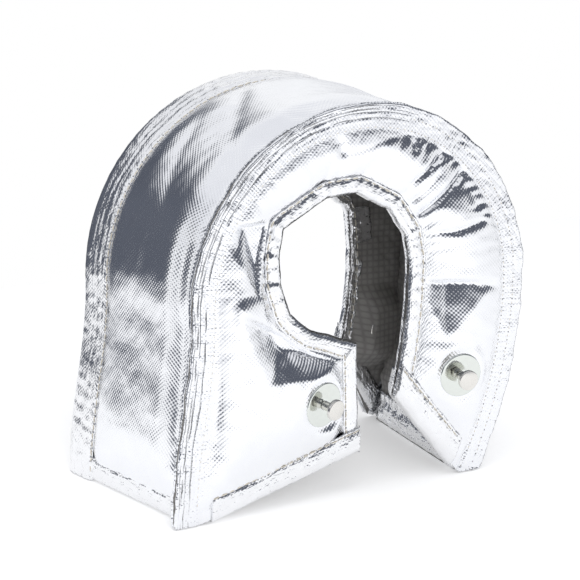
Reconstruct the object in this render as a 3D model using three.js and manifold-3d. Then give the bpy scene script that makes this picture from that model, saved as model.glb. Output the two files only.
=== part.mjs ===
// A padded heat blanket for a turbine housing, in millimetres. It stands on its two feet with +Z up,
// its front panel faces -Y, and its origin is the bottom centre of its box.
// Three panels (front, rear and the band between them) have three layers each: aluminised skin,
// insulation mat and woven liner. Strips of skin bind their edges, and lacing anchors pierce the legs.
import * as THREE from "three";
import { mergeVertices } from "three/addons/utils/BufferGeometryUtils.js";
import Module from "manifold-3d";

// Overall sizes
const seamDepth = 114; // between the front seam's plane and the rear panel's corner
const padThickness = 12; // of each panel where it isn't drawn in by a hem
const panelPuff = 5; // how far a panel's middle stands proud of its seam
const bandPuff = 5;
const puffReach = 36; // from a hem's stitches to the full thickness
const gatherDepth = 1.6; // of the folds that the arch's curve draws in beside its seams

// Fabric
const skinThickness = 1;
const linerThickness = 1;
const bindingThickness = 1;
const clearance = 0.3; // between layers that touch
const hemThickness = 5; // of the three layers where a hem squeezes them
const hemWidth = 9; // of the openings' hems
const footHemWidth = 12;
const holeHemRise = 8; // from a panel's inner face to its outer face at the hole's hem
const flangeWidth = 11; // the front seam's edges, standing out past the band
const flangeCoreThickness = 0.8;
const flangeCoreInset = 0.8; // of the dark middle ply from the flange's edge
const rearBindingWidth = 9;
const flangeStitchInset = 3; // from the band's surface to the front seam's inner stitches

// The band's outer surface, seen from the front: straight sides under a round arch
const frontOutline = { arch: [0, 113], radius: 94, leftFoot: -106, rightFoot: 66 };
const rearOutline = { arch: [-5, 113], radius: 109, leftFoot: -127, rightFoot: 79 };
const kneeAt = 0.42; // share of the left side that stands beside a leg, under the hole's level
const sideFlare = 0.35; // share of the arch's height over which a side's ends keep their direction
const rightBow = 6; // how far the right side bows out on its way to the foot

// The openings of the two panels, seen from the front
const frontHole = { center: [-9.5, 129], radius: 41.5, from: -82, haunch: -170 };
const frontLegInner = [-2, 25]; // lowest inner corner of the wide left leg
const frontRightCorner = [23.5, 53]; // lowest inner corner of the short right leg
const rearHole = { center: [-5, 112], radius: 60, from: -130, haunch: -170 };
const rearLegInner = [-40, 16];
const rearRightCorner = [47, 48];

// Valleys in the fabric: the two ends of each, half its width and its depth. A panel's are seen from the
// front. The band's are measured along the middle of its outline and along Y, and one of them is a ridge.
const frontFolds = [
  { ends: [[-88, 158], [-60, 160]], half: 8, depth: 3 },
  { ends: [[-74, 150], [-66, 118]], half: 8, depth: 2 },
  { ends: [[-68, 98], [-42, 80]], half: 11, depth: 2.4 },
  { ends: [[-20, 208], [-12, 192]], half: 5, depth: 2 },
  { ends: [[-4, 194], [26, 201]], half: 6, depth: 1.6 },
  { ends: [[53, 190], [33, 172]], half: 5, depth: 2 },
  { ends: [[68, 180], [38, 152]], half: 6, depth: 2.4 },
  { ends: [[44, 112], [82, 109]], half: 8, depth: 3.2 },
  { ends: [[46, 84], [64, 96]], half: 8, depth: 2.4 },
];
const rearFolds = [
  { ends: [[-100, 150], [-70, 140]], half: 7, depth: 1.8 },
  { ends: [[-70, 190], [-50, 165]], half: 6, depth: 1.8 },
  { ends: [[70, 175], [50, 150]], half: 6, depth: 2 },
  { ends: [[68, 110], [95, 105]], half: 7, depth: 2 },
];
const bandFolds = [
  { ends: [[70, -27], [520, -27]], half: 11, depth: -1.3 },
  { ends: [[196, -34], [250, 30]], half: 9, depth: 1.6 },
  { ends: [[330, -40], [352, -10]], half: 8, depth: 1.4 },
  { ends: [[384, -42], [396, -8]], half: 7, depth: 1.4 },
  { ends: [[428, -42], [420, -4]], half: 7, depth: 1.4 },
];

// Lacing anchors
const frontAnchorHeights = { left: 56, right: 60 };
const rearAnchorHeights = { left: 58, right: 62 };
const lacingInset = 25.4; // from the front left leg's inner edge to its anchor
const anchorLinerGap = 0.7; // between a right anchor's base disc and the band's liner
const washerDiameter = 25.4;
const washerThickness = 1;
const postDiameter = 5;
const postClearance = 0.3;
const postReach = 10; // from the washer to the far face of the head
const headDiameter = 11.5;
const headThickness = 3;
const headSocket = 1.6;

// Steps of the meshes
const legStops = [0, 0.27, 0.5, 0.75, 1];
const haunchSteps = 5;
const archSteps = 28;
const rightStops = [0, 0.2, 0.4, 0.62, 0.84, 1];
const acrossStops = [0.2, 0.42, 0.64, 0.84]; // between the hem and the seam
const bandStops = [-38, -27, -14, 2, 18, 34];
const turnedSides = 16;
const seatShares = [0.5, 1]; // of a washer's radius, where the fabric under it is felt

const innerPlane = seamDepth / 2 - padThickness; // the panels' inner faces are this far from the middle
const bindingOut = clearance + bindingThickness;
const legBindingOut = bindingOut + clearance; // where a foot's binding wraps the hole's binding
const flangeRear = innerPlane + padThickness - skinThickness - 2 * clearance - flangeCoreThickness;

const finish = {
  foil: { color: 0xd9dbdf, roughness: 0.28, metalness: 1 },
  mat: { color: 0xd8d2c2, roughness: 1, metalness: 0 },
  liner: { color: 0x3c3a38, roughness: 0.9, metalness: 0 },
  steel: { color: 0xd2d4cf, roughness: 0.15, metalness: 1 },
};

const wasm = await Module();
wasm.setup();

const part = new THREE.Group();

function add(name, geometry, look) {
  const mesh = new THREE.Mesh(geometry, new THREE.MeshStandardMaterial(finish[look]));
  mesh.name = name;
  part.add(mesh);
  return mesh;
}

const clamp01 = (x) => Math.min(1, Math.max(0, x));

// How deep the folds are at a place: each is a round valley that runs out past its ends.
function foldDepth(folds, place) {
  const depths = folds.map(({ ends, half, depth }) => {
    const [from, to] = ends.map(([a, b]) => new THREE.Vector3(a, b, 0));
    const nearest = new THREE.Line3(from, to).closestPointToPoint(place, true, new THREE.Vector3());
    return depth * Math.exp(-((place.distanceTo(nearest) / half) ** 2));
  });
  return depths.reduce((sum, depth) => sum + depth, 0);
}

// How much of the puff is missing at a distance from a hem: all of it at the stitches, none at the reach.
const missing = (distance) => (1 - clamp01(distance / puffReach)) ** 2;

// Curves, as plane points (x, z)

const halfTurn = 180;

function sample(curve, stops) {
  return stops.map((t) => curve.getPoint(t));
}

const evenStops = (steps) => Array.from({ length: steps + 1 }, (_, i) => i / steps);

function joined(...runs) {
  return runs.flatMap((run, i) => (i ? run.slice(1) : run));
}

function arc(center, radius, fromDegrees, toDegrees) {
  const [from, to] = [fromDegrees, toDegrees].map(THREE.MathUtils.degToRad);
  return new THREE.EllipseCurve(center[0], center[1], radius, radius, from, to, from > to);
}

// The outline's stations from the left foot over the arch to the right foot.
function outlineRail({ arch, radius, leftFoot, rightFoot }) {
  const [x, z] = arch;
  const left = new THREE.CubicBezierCurve(
    new THREE.Vector2(leftFoot, 0),
    new THREE.Vector2(leftFoot, z * sideFlare),
    new THREE.Vector2(x - radius, z * (1 - sideFlare)),
    new THREE.Vector2(x - radius, z),
  );
  const right = new THREE.CubicBezierCurve(
    new THREE.Vector2(x + radius, z),
    new THREE.Vector2(x + radius, z * (1 - sideFlare)),
    new THREE.Vector2((x + radius + rightFoot) / 2 + rightBow, z * sideFlare),
    new THREE.Vector2(rightFoot, 0),
  );
  return joined(
    sample(left, legStops.map((t) => t * kneeAt)),
    sample(left, evenStops(haunchSteps).map((t) => kneeAt + t * (1 - kneeAt))),
    sample(arc(arch, radius, halfTurn, 0), evenStops(archSteps)),
    sample(right, rightStops),
  );
}

// An opening's stations, matched one to one with the outline's.
function openingRail({ center, radius, from, haunch }, legCorner, rightCorner) {
  const ring = (start, end) => arc(center, radius, start, end);
  const knee = ring(from, haunch).getPoint(0);
  const rightTop = new THREE.Vector2(center[0] + radius, center[1]);
  const right = new THREE.QuadraticBezierCurve(
    rightTop,
    new THREE.Vector2(rightTop.x, (rightTop.y + rightCorner[1]) / 2),
    new THREE.Vector2(...rightCorner),
  );
  return joined(
    sample(new THREE.LineCurve(new THREE.Vector2(...legCorner), knee), legStops),
    sample(ring(from, haunch), evenStops(haunchSteps)),
    sample(ring(haunch, -2 * halfTurn), evenStops(archSteps)),
    sample(right, rightStops),
  );
}

// The unit normal at each station, to the left of the way along the rail; a corner's is mitred.
function railNormals(rail) {
  const sides = rail.slice(1).map((p, i) => {
    const along = p.clone().sub(rail[i]).normalize();
    return new THREE.Vector2(-along.y, along.x);
  });
  return rail.map((_, i) => {
    const before = sides[Math.max(0, i - 1)];
    const after = sides[Math.min(sides.length - 1, i)];
    return before.clone().add(after).divideScalar(1 + before.dot(after));
  });
}

// A rail moved sideways. Its two ends slide along the leg to the level of the feet.
function offsetRail(rail, distance, level) {
  const normals = railNormals(rail);
  const moved = rail.map((p, i) => p.clone().addScaledVector(normals[i], distance));
  const last = rail.length - 1;
  for (const [end, next] of [[0, 1], [last, last - 1]]) {
    const up = rail[next].clone().sub(rail[end]);
    moved[end].addScaledVector(up, (level - moved[end].y) / up.y);
  }
  return moved;
}

// Closed solids between two grids of points

function solidBetween(outer, inner) {
  const rows = outer.length;
  const columns = outer[0].length;
  const points = [...outer.flat(), ...inner.flat()];
  const at = (side, i, j) => side * rows * columns + i * columns + j;
  const index = [];
  const quad = (a, b, c, d) => index.push(a, b, c, a, c, d);
  for (let i = 0; i < rows - 1; i++) {
    for (let j = 0; j < columns - 1; j++) {
      quad(at(0, i, j), at(0, i, j + 1), at(0, i + 1, j + 1), at(0, i + 1, j));
      quad(at(1, i, j), at(1, i + 1, j), at(1, i + 1, j + 1), at(1, i, j + 1));
    }
    quad(at(0, i, 0), at(0, i + 1, 0), at(1, i + 1, 0), at(1, i, 0));
    const j = columns - 1;
    quad(at(0, i, j), at(1, i, j), at(1, i + 1, j), at(0, i + 1, j));
  }
  for (let j = 0; j < columns - 1; j++) {
    quad(at(0, 0, j), at(1, 0, j), at(1, 0, j + 1), at(0, 0, j + 1));
    const i = rows - 1;
    quad(at(0, i, j), at(0, i, j + 1), at(1, i, j + 1), at(1, i, j));
  }
  const geometry = new THREE.BufferGeometry().setFromPoints(points);
  geometry.setIndex(index);
  return facingOut(geometry);
}

// Six times the signed volume, to see which way the faces point.
function facingOut(geometry) {
  const index = geometry.index.array;
  const position = geometry.getAttribute("position");
  const corner = (i) => new THREE.Vector3().fromBufferAttribute(position, index[i]);
  let volume = 0;
  for (let i = 0; i < index.length; i += 3) {
    volume += corner(i).dot(corner(i + 1).cross(corner(i + 2)));
  }
  if (volume < 0) {
    for (let i = 0; i < index.length; i += 3) {
      [index[i + 1], index[i + 2]] = [index[i + 2], index[i + 1]];
    }
  }
  return geometry;
}

function toManifold(geometry) {
  const bare = geometry.clone();
  bare.deleteAttribute("normal");
  bare.deleteAttribute("uv");
  const merged = mergeVertices(bare);
  return new wasm.Manifold(
    new wasm.Mesh({
      numProp: 3,
      vertProperties: merged.getAttribute("position").array,
      triVerts: new Uint32Array(merged.index.array),
    }),
  );
}

function fromManifold(solid) {
  const mesh = solid.getMesh();
  const geometry = new THREE.BufferGeometry();
  geometry.setAttribute("position", new THREE.BufferAttribute(mesh.vertProperties, 3));
  geometry.setIndex(new THREE.BufferAttribute(mesh.triVerts, 1));
  return geometry;
}

function pierced(geometry, tools) {
  const solid = tools.reduce((left, tool) => left.subtract(toManifold(tool)), toManifold(geometry));
  return fromManifold(solid);
}

// The band and its outline at any depth

const frontRail = outlineRail(frontOutline);
const rearRail = outlineRail(rearOutline);
const stations = frontRail.length;
const lastStation = stations - 1;

function outlineAt(y) {
  const share = y / seamDepth + 0.5;
  return frontRail.map((p, i) => p.clone().lerp(rearRail[i], share));
}

function railLengths(rail) {
  return rail.reduce((sums, p, i) => [...sums, i ? sums[i - 1] + p.distanceTo(rail[i - 1]) : 0], []);
}

// How far each station is along the band's middle, and from the nearer foot, less the hem.
const bandLengths = railLengths(outlineAt(0));
const footDistance = bandLengths.map((s) => Math.min(s - bandLengths[1], bandLengths[lastStation - 1] - s));

const rearHem = seamDepth / 2 - rearBindingWidth - bindingOut;

// Every second station of the arch and of the right side lies in a fold.
const archStart = legStops.length - 1 + haunchSteps;
const gathered = (i) => (i > archStart && i < lastStation - 1 && i % 2 ? gatherDepth : 0);

// The puff of the band's outer surface past its outline.
function bandRise(y, i) {
  const fromFront = y + flangeRear - skinThickness;
  const fromRear = rearHem - y;
  const full = 1 - Math.max(missing(fromFront), missing(fromRear), missing(footDistance[i]));
  const folds = foldDepth(bandFolds, new THREE.Vector3(bandLengths[i], y, 0));
  const puff = (bandPuff - folds) * full;
  return fromFront > 0 ? puff - gathered(i) * missing(fromFront) : puff;
}

// The band's inner surface: full thickness, squeezed to the hem's at the feet.
function bandSink(y, i) {
  return hemThickness + (padThickness - hemThickness) * (1 - missing(footDistance[i]));
}

// One surface of the band: a row of points for each station, one for each depth.
function bandGrid(depths, offsetOf, level) {
  const columns = depths.map((y) => {
    const outline = outlineAt(y);
    const normals = railNormals(outline);
    const points = outline.map((p, i) => p.clone().addScaledVector(normals[i], offsetOf(y, i)));
    for (const [end, next] of [[0, 1], [lastStation, lastStation - 1]]) {
      const up = outline[next].clone().sub(outline[end]);
      points[end].addScaledVector(up, (level - points[end].y) / up.y);
    }
    return points.map((p) => new THREE.Vector3(p.x, y, p.y));
  });
  return frontRail.map((_, i) => columns.map((column) => column[i]));
}

const layersEnd = bindingOut; // how high over the floor the layers of a foot end
const matEnd = innerPlane - clearance; // how far the band's inner layers reach forward and back

function bandLayer(name, look, depths, outer, inner) {
  return add(name, solidBetween(bandGrid(depths, outer, layersEnd), bandGrid(depths, inner, layersEnd)), look);
}

// The band's skin turns out at its front edge, as the rear ply of the flange.
function bandSkin() {
  const rearEnd = seamDepth / 2 - skinThickness - clearance;
  const depthsFrom = (front) => [front, -matEnd, ...bandStops, matEnd, rearHem, rearEnd];
  const outer = bandGrid(depthsFrom(-flangeRear + skinThickness), bandRise, layersEnd);
  const inner = bandGrid(depthsFrom(-flangeRear), (y, i) => bandRise(y, i) - skinThickness, layersEnd);
  const flange = offsetRail(outlineAt(-flangeRear), flangeWidth, clearance);
  outer.forEach((row, i) => {
    row.unshift(new THREE.Vector3(flange[i].x, -flangeRear + skinThickness, flange[i].y));
  });
  inner.forEach((row, i) => {
    row.unshift(new THREE.Vector3(flange[i].x, -flangeRear, flange[i].y));
  });
  add("band_outer_skin", solidBetween(outer, inner), "foil");
}

function bandPadding() {
  const depths = [-matEnd, ...bandStops, matEnd];
  const under = skinThickness + clearance;
  const over = linerThickness + clearance;
  bandLayer("band_insulation", "mat", depths, (y, i) => bandRise(y, i) - under, (y, i) => over - bandSink(y, i));
  bandLayer("band_liner", "liner", depths, (y, i) => linerThickness - bandSink(y, i), (y, i) => -bandSink(y, i));
}

// The trough of skin under the band's foot, along Y; its bottom is flat on the floor.
function bandFootBinding(name, end) {
  const next = end ? end - 1 : 1;
  const from = -(innerPlane + padThickness - hemThickness) + 2 * clearance;
  const to = rearHem - clearance;
  const wall = (y, out, level) => {
    const outline = outlineAt(y);
    const normal = railNormals(outline)[end];
    const up = outline[next].clone().sub(outline[end]);
    const p = outline[end].clone().addScaledVector(normal, out);
    p.addScaledVector(up, (level - p.y) / up.y);
    return new THREE.Vector3(p.x, y, p.y);
  };
  const section = (y, out, base) => [
    wall(y, out, footHemWidth),
    wall(y, out, base),
    wall(y, -hemThickness - out, base),
    wall(y, -hemThickness - out, footHemWidth),
  ];
  const depths = [from, ...bandStops, to];
  const outside = depths.map((y) => section(y, bindingOut, 0));
  const inside = depths.map((y) => section(y, clearance, bindingThickness));
  add(name, solidBetween(outside, inside), "foil");
}

// The dark edge of the liners in the front seam, between the two plies of skin.
function flangeCore() {
  const front = -flangeRear - clearance;
  const outline = outlineAt(front);
  const inside = offsetRail(outline, clearance, clearance);
  const outside = offsetRail(outline, flangeWidth - flangeCoreInset, clearance);
  const ply = (y) => inside.map((p, i) => [
    new THREE.Vector3(p.x, y, p.y),
    new THREE.Vector3(outside[i].x, y, outside[i].y),
  ]);
  add("front_seam_core", solidBetween(ply(front), ply(front - flangeCoreThickness)), "liner");
}

// The strip folded over the corner of the band and the rear panel.
function rearBinding() {
  const face = seamDepth / 2;
  const strip = (out, y) => {
    const edge = offsetRail(outlineAt(face), out, clearance);
    const front = offsetRail(outlineAt(rearHem), out, clearance);
    const inner = offsetRail(outlineAt(face), -rearBindingWidth, clearance);
    return edge.map((p, i) => [
      new THREE.Vector3(front[i].x, rearHem, front[i].y),
      new THREE.Vector3(p.x, y, p.y),
      new THREE.Vector3(inner[i].x, y, inner[i].y),
    ]);
  };
  add("rear_seam_binding", solidBetween(strip(bindingOut, face + bindingOut), strip(clearance, face + clearance)), "foil");
}

// A flat panel: its opening, its outline and the side it faces (-1 front, +1 rear)

function makePanel(side, hole, [legCorner, rightCorner], seamMargin, folds) {
  const opening = openingRail(hole, legCorner, rightCorner);
  const outline = outlineAt((side * seamDepth) / 2);
  // The way into the fabric from the opening's edge, scaled to count distances square to the edge.
  // At a foot it follows the foot's own edge.
  const inward = railNormals(opening);
  for (const [end, next] of [[0, 1], [lastStation, lastStation - 1]]) {
    const foot = outline[end].clone().sub(opening[end]).normalize();
    const along = opening[next].clone().sub(opening[end]).normalize();
    inward[end] = foot.divideScalar(Math.abs(foot.cross(along)));
  }
  const hem = opening.map((p, i) => p.clone().addScaledVector(inward[i], hemWidth + clearance));
  const seam = offsetRail(outline, -seamMargin, layersEnd);
  const lengths = railLengths(opening);
  const fromFoot = lengths.map((s) => Math.min(s - lengths[1], lengths[lastStation - 1] - s));
  return { side, opening, inward, hem, seam, fromFoot, folds };
}

// The columns of a panel's grid at one station: the opening's edge, its hem's stitches, the free
// stretch, the seam's stitches and the outline less an inset, which depends on the depth.
function panelRow(panel, i) {
  const { opening, hem, seam } = panel;
  const width = hem[i].distanceTo(seam[i]);
  const shares = [0, 0, ...acrossStops, 1, 1];
  const free = acrossStops.map((t) => hem[i].clone().lerp(seam[i], t));
  return [opening[i], hem[i], ...free, seam[i], null].map((point, j) => {
    return { point, fromHem: shares[j] * width, fromSeam: (1 - shares[j]) * width, share: shares[j] };
  });
}

// How far the outer and inner faces are from the panel's inner plane.
function panelRise(panel, i, { point, fromHem, fromSeam, share }) {
  const full = padThickness + panelPuff;
  const foot = THREE.MathUtils.lerp(holeHemRise, padThickness, share);
  const drop = Math.max(
    (full - holeHemRise) * missing(fromHem),
    (full - padThickness) * missing(fromSeam),
    (full - foot) * missing(panel.fromFoot[i]),
  );
  const free = share > 0 && share < 1;
  const folds = free ? foldDepth(panel.folds, new THREE.Vector3(point.x, point.y, 0)) : 0;
  return full - drop - folds - (share < 1 ? gathered(i) * share ** 2 : 0);
}

function panelSink(panel, i, { fromHem, share }) {
  const foot = THREE.MathUtils.lerp(holeHemRise, padThickness, share) - hemThickness;
  const hem = holeHemRise - hemThickness;
  return Math.max(hem * missing(fromHem), foot * missing(panel.fromFoot[i]));
}

function panelGrid(panel, inset, heightOf) {
  return panel.opening.map((_, i) =>
    panelRow(panel, i).map((column) => {
      const y = panel.side * (innerPlane + heightOf(panel, i, column));
      const point = column.point ?? offsetRail(outlineAt(y), -inset, layersEnd)[i];
      return new THREE.Vector3(point.x, y, point.y);
    }),
  );
}

const raised = (surface, by) => (...place) => surface(...place) + by;

function panelLayers(panel, name, anchorHoles) {
  const inset = skinThickness + clearance;
  const layer = (suffix, look, outer, inner, edgeInset) => {
    const solid = solidBetween(panelGrid(panel, edgeInset, outer), panelGrid(panel, edgeInset, inner));
    return add(name + suffix, pierced(solid, anchorHoles), look);
  };
  const matTop = raised(panelRise, -skinThickness - clearance);
  const matBottom = raised(panelSink, linerThickness + clearance);
  layer("_insulation", "mat", matTop, matBottom, inset);
  layer("_liner", "liner", raised(panelSink, linerThickness), panelSink, inset);
}

function panelSkin(panel, name, anchorHoles, flange) {
  const outer = panelGrid(panel, 0, panelRise);
  const inner = panelGrid(panel, 0, raised(panelRise, -skinThickness));
  if (flange) {
    const edge = offsetRail(outlineAt((panel.side * seamDepth) / 2), flange, clearance);
    for (const [grid, depth] of [[outer, 0], [inner, skinThickness]]) {
      const y = panel.side * (innerPlane + padThickness - depth);
      grid.forEach((row, i) => row.push(new THREE.Vector3(edge[i].x, y, edge[i].y)));
    }
  }
  return add(name + "_outer_skin", pierced(solidBetween(outer, inner), anchorHoles), "foil");
}

// The strip folded round an opening's edge.
function holeBinding(panel, name) {
  const strip = (out) => panel.opening.map((p, i) => {
    const edge = p.clone().addScaledVector(panel.inward[i], -out);
    const cover = p.clone().addScaledVector(panel.inward[i], hemWidth);
    const [top, bottom] = [holeHemRise + out, holeHemRise - hemThickness - out];
    return [[cover, top], [edge, top], [edge, bottom], [cover, bottom]].map(
      ([q, height]) => new THREE.Vector3(q.x, panel.side * (innerPlane + height), q.y),
    );
  });
  add(name, solidBetween(strip(bindingOut), strip(clearance)), "foil");
}

// The strip folded round the lower edge of a panel's leg, over the opening's strip.
function panelFootBinding(panel, name, end) {
  const next = end ? end - 1 : 1;
  const outlineEnd = offsetRail(outlineAt((panel.side * seamDepth) / 2), 0, layersEnd)[end];
  const along = outlineEnd.clone().sub(panel.opening[end]).normalize();
  const up = new THREE.Vector2(-along.y, along.x);
  const columns = panelRow(panel, end).slice(0, -1).map((column, j) => {
    const lean = panelRow(panel, next)[j].point.clone().sub(column.point);
    return { foot: column.point, lean: lean.divideScalar(lean.dot(up)), share: column.share };
  });
  const [first] = columns;
  columns.unshift({ ...first, foot: first.foot.clone().addScaledVector(panel.inward[end], -bindingOut) });
  // The strip ends short of the band's own foot.
  const last = columns.at(-1);
  const before = columns.at(-2);
  const margin = last.foot.distanceTo(outlineEnd);
  const stop = (rearBindingWidth + bindingOut + clearance) / endSlant(along, end) - margin;
  const back = clamp01(stop / last.foot.distanceTo(before.foot));
  last.foot = last.foot.clone().lerp(before.foot, back);
  last.lean = last.lean.clone().lerp(before.lean, back);
  last.share = THREE.MathUtils.lerp(last.share, before.share, back);
  const sign = Math.sign(up.y);
  const strip = (sides, below) => columns.map(({ foot, lean, share }) => {
    const rise = THREE.MathUtils.lerp(holeHemRise, padThickness, share);
    const point = (height, level) => {
      const q = foot.clone().addScaledVector(lean, sign * level);
      return new THREE.Vector3(q.x, panel.side * (innerPlane + height), q.y);
    };
    const [top, bottom] = [rise + sides, rise - hemThickness - sides];
    return [point(top, footHemWidth), point(top, -below), point(bottom, -below), point(bottom, footHemWidth)];
  });
  const outside = strip(legBindingOut + bindingThickness, bindingOut);
  const inside = strip(legBindingOut, clearance);
  add(name, solidBetween(outside, inside), "foil");
}

// How squarely a foot's edge meets the outline, from 0 to 1.
function endSlant(along, end) {
  return Math.abs(railNormals(outlineAt(0))[end].dot(along));
}

// Lacing anchors

// How far to the right the outline stands at a height.
function rightEdgeAt(outline, z) {
  const above = outline.findLastIndex((p) => p.y > z);
  const [high, low] = [outline[above], outline[above + 1]];
  return THREE.MathUtils.mapLinear(z, low.y, high.y, low.x, high.x);
}

// Where an anchor stands whose base disc just clears the band's liner.
function besideBand(side, z) {
  const radius = washerDiameter / 2;
  const outline = outlineAt(side * innerPlane);
  const [low, middle, high] = [-radius, 0, radius].map((dz) => rightEdgeAt(outline, z + dz));
  const slant = Math.hypot(1, (high - low) / washerDiameter);
  return [middle - (padThickness + radius + anchorLinerGap) * slant, z];
}

// Where a washer rests on a panel's skin: the seat's point, and the way it faces.
function seatOn(skin, side, [x, z]) {
  const radius = washerDiameter / 2;
  const ray = new THREE.Raycaster();
  const heightAt = (dx, dz) => {
    ray.set(new THREE.Vector3(x + dx, side * seamDepth, z + dz), new THREE.Vector3(0, -side, 0));
    return side * ray.intersectObject(skin)[0].point.y;
  };
  const slopeX = (heightAt(radius, 0) - heightAt(-radius, 0)) / washerDiameter;
  const slopeZ = (heightAt(0, radius) - heightAt(0, -radius)) / washerDiameter;
  // The washer lies on the highest of the points under it.
  const rim = evenStops(turnedSides).flatMap((turn) => seatShares.map((share) => {
    const angle = turn * 2 * Math.PI;
    const [dx, dz] = [radius * share * Math.cos(angle), radius * share * Math.sin(angle)];
    return heightAt(dx, dz) - slopeX * dx - slopeZ * dz;
  }));
  const height = Math.max(heightAt(0, 0), ...rim) + clearance;
  return {
    point: new THREE.Vector3(x, side * height, z),
    normal: new THREE.Vector3(-slopeX, side, -slopeZ).normalize(),
  };
}

function turned(profile) {
  return new THREE.LatheGeometry(profile.map(([r, h]) => new THREE.Vector2(r, h)), turnedSides);
}

function anchorGroup({ point, normal }) {
  const group = new THREE.Group();
  group.position.copy(point);
  group.quaternion.setFromUnitVectors(new THREE.Vector3(0, 1, 0), normal);
  part.add(group);
  return group;
}

// From the washer along the post to the base disc, which clears the liner.
function anchorDepth({ point, normal }) {
  const upright = Math.abs(normal.y);
  const lean = Math.sqrt(1 - upright ** 2);
  return (Math.abs(point.y) - innerPlane + clearance + (lean * washerDiameter) / 2) / upright;
}

// Moves a place so that its anchor's base disc stands there, and not its washer, where the post leans.
function overBase(skin, side, [x, z]) {
  const seat = seatOn(skin, side, [x, z]);
  return [x + seat.normal.x * (anchorDepth(seat) + washerThickness), z];
}

function anchorBore(seat) {
  const radius = postDiameter / 2 + postClearance;
  const reach = anchorDepth(seat) + postReach;
  const bore = new THREE.CylinderGeometry(radius, radius, 2 * reach, turnedSides);
  bore.applyQuaternion(new THREE.Quaternion().setFromUnitVectors(new THREE.Vector3(0, 1, 0), seat.normal));
  return bore.translate(seat.point.x, seat.point.y, seat.point.z);
}

function addAnchor(name, seat) {
  const group = anchorGroup(seat);
  const base = -anchorDepth(seat);
  const post = postDiameter / 2;
  const bore = post + postClearance;
  const disc = washerDiameter / 2;
  const head = headDiameter / 2;
  const headBase = washerThickness + postReach - headThickness;
  const postTop = headBase + headSocket - clearance;
  const shapes = {
    base: [
      [0, base - washerThickness],
      [disc, base - washerThickness],
      [disc, base],
      [post, base],
      [post, postTop],
      [0, postTop],
    ],
    washer: [
      [bore, 0],
      [disc, 0],
      [disc, washerThickness],
      [bore, washerThickness],
      [bore, 0],
    ],
    head: [
      [0, headBase + headSocket],
      [bore, headBase + headSocket],
      [bore, headBase],
      [head, headBase],
      [head, headBase + headThickness],
      [0, headBase + headThickness],
    ],
  };
  for (const [piece, profile] of Object.entries(shapes)) {
    group.add(add(`${name}_${piece}`, turned(profile), "steel"));
  }
}

function buildPanel(side, name, { hole, corners, folds, anchors, seamMargin, flange }) {
  const panel = makePanel(side, hole, corners, seamMargin, folds);
  const whole = solidBetween(panelGrid(panel, 0, panelRise), panelGrid(panel, 0, panelSink));
  const body = new THREE.Mesh(whole, new THREE.MeshBasicMaterial({ side: THREE.DoubleSide }));
  const places = { left: anchors.left, right: overBase(body, side, anchors.right) };
  const seats = Object.entries(places).map(([where, place]) => [where, seatOn(body, side, place)]);
  const bores = seats.map(([, seat]) => anchorBore(seat));
  panelSkin(panel, name, bores, flange);
  panelLayers(panel, name, bores);
  holeBinding(panel, name + "_opening_binding");
  panelFootBinding(panel, name + "_left_foot_binding", 0);
  panelFootBinding(panel, name + "_right_foot_binding", lastStation);
  for (const [where, seat] of seats) {
    addAnchor(`${name}_${where}_anchor`, seat);
  }
}

bandSkin();
bandPadding();
bandFootBinding("band_left_foot_binding", 0);
bandFootBinding("band_right_foot_binding", lastStation);
flangeCore();
rearBinding();
const frontAnchors = {
  left: [frontLegInner[0] - lacingInset, frontAnchorHeights.left],
  right: besideBand(-1, frontAnchorHeights.right),
};
const rearAnchors = {
  left: [(rearOutline.leftFoot + rearLegInner[0]) / 2, rearAnchorHeights.left],
  right: besideBand(1, rearAnchorHeights.right),
};
buildPanel(-1, "front", {
  hole: frontHole,
  corners: [frontLegInner, frontRightCorner],
  folds: frontFolds,
  anchors: frontAnchors,
  seamMargin: flangeStitchInset,
  flange: flangeWidth,
});
buildPanel(1, "rear", {
  hole: rearHole,
  corners: [rearLegInner, rearRightCorner],
  folds: rearFolds,
  anchors: rearAnchors,
  seamMargin: rearBindingWidth + clearance,
  flange: 0,
});

// The origin goes to the bottom centre of the box.
part.updateMatrixWorld(true);
const box = new THREE.Box3().setFromObject(part, true);
const middle = box.getCenter(new THREE.Vector3());
part.position.set(-middle.x, -middle.y, -box.min.z);

export default part;
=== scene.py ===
"""The dressed turbo heat blanket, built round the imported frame."""

import math

import bpy
import numpy as np
from mathutils import Matrix, Vector


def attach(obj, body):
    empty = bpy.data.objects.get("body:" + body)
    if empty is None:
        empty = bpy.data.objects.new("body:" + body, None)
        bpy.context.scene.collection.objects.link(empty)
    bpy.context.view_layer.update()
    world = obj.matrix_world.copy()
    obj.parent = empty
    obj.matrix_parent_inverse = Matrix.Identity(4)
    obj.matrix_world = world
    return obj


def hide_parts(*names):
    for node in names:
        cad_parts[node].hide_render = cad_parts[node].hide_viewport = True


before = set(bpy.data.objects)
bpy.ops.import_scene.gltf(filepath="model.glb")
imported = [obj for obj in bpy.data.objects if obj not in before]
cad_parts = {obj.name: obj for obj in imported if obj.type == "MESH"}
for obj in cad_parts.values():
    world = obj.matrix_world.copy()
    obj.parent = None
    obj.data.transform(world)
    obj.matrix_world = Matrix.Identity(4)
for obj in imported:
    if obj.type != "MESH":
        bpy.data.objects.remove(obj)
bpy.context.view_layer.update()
scene = bpy.context.scene
rng = np.random.default_rng(11)

MM = 0.001
SHIFT = np.array([11.493, -0.577, 0.0])  # from the drawing's origin to the bottom centre of the box

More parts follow.
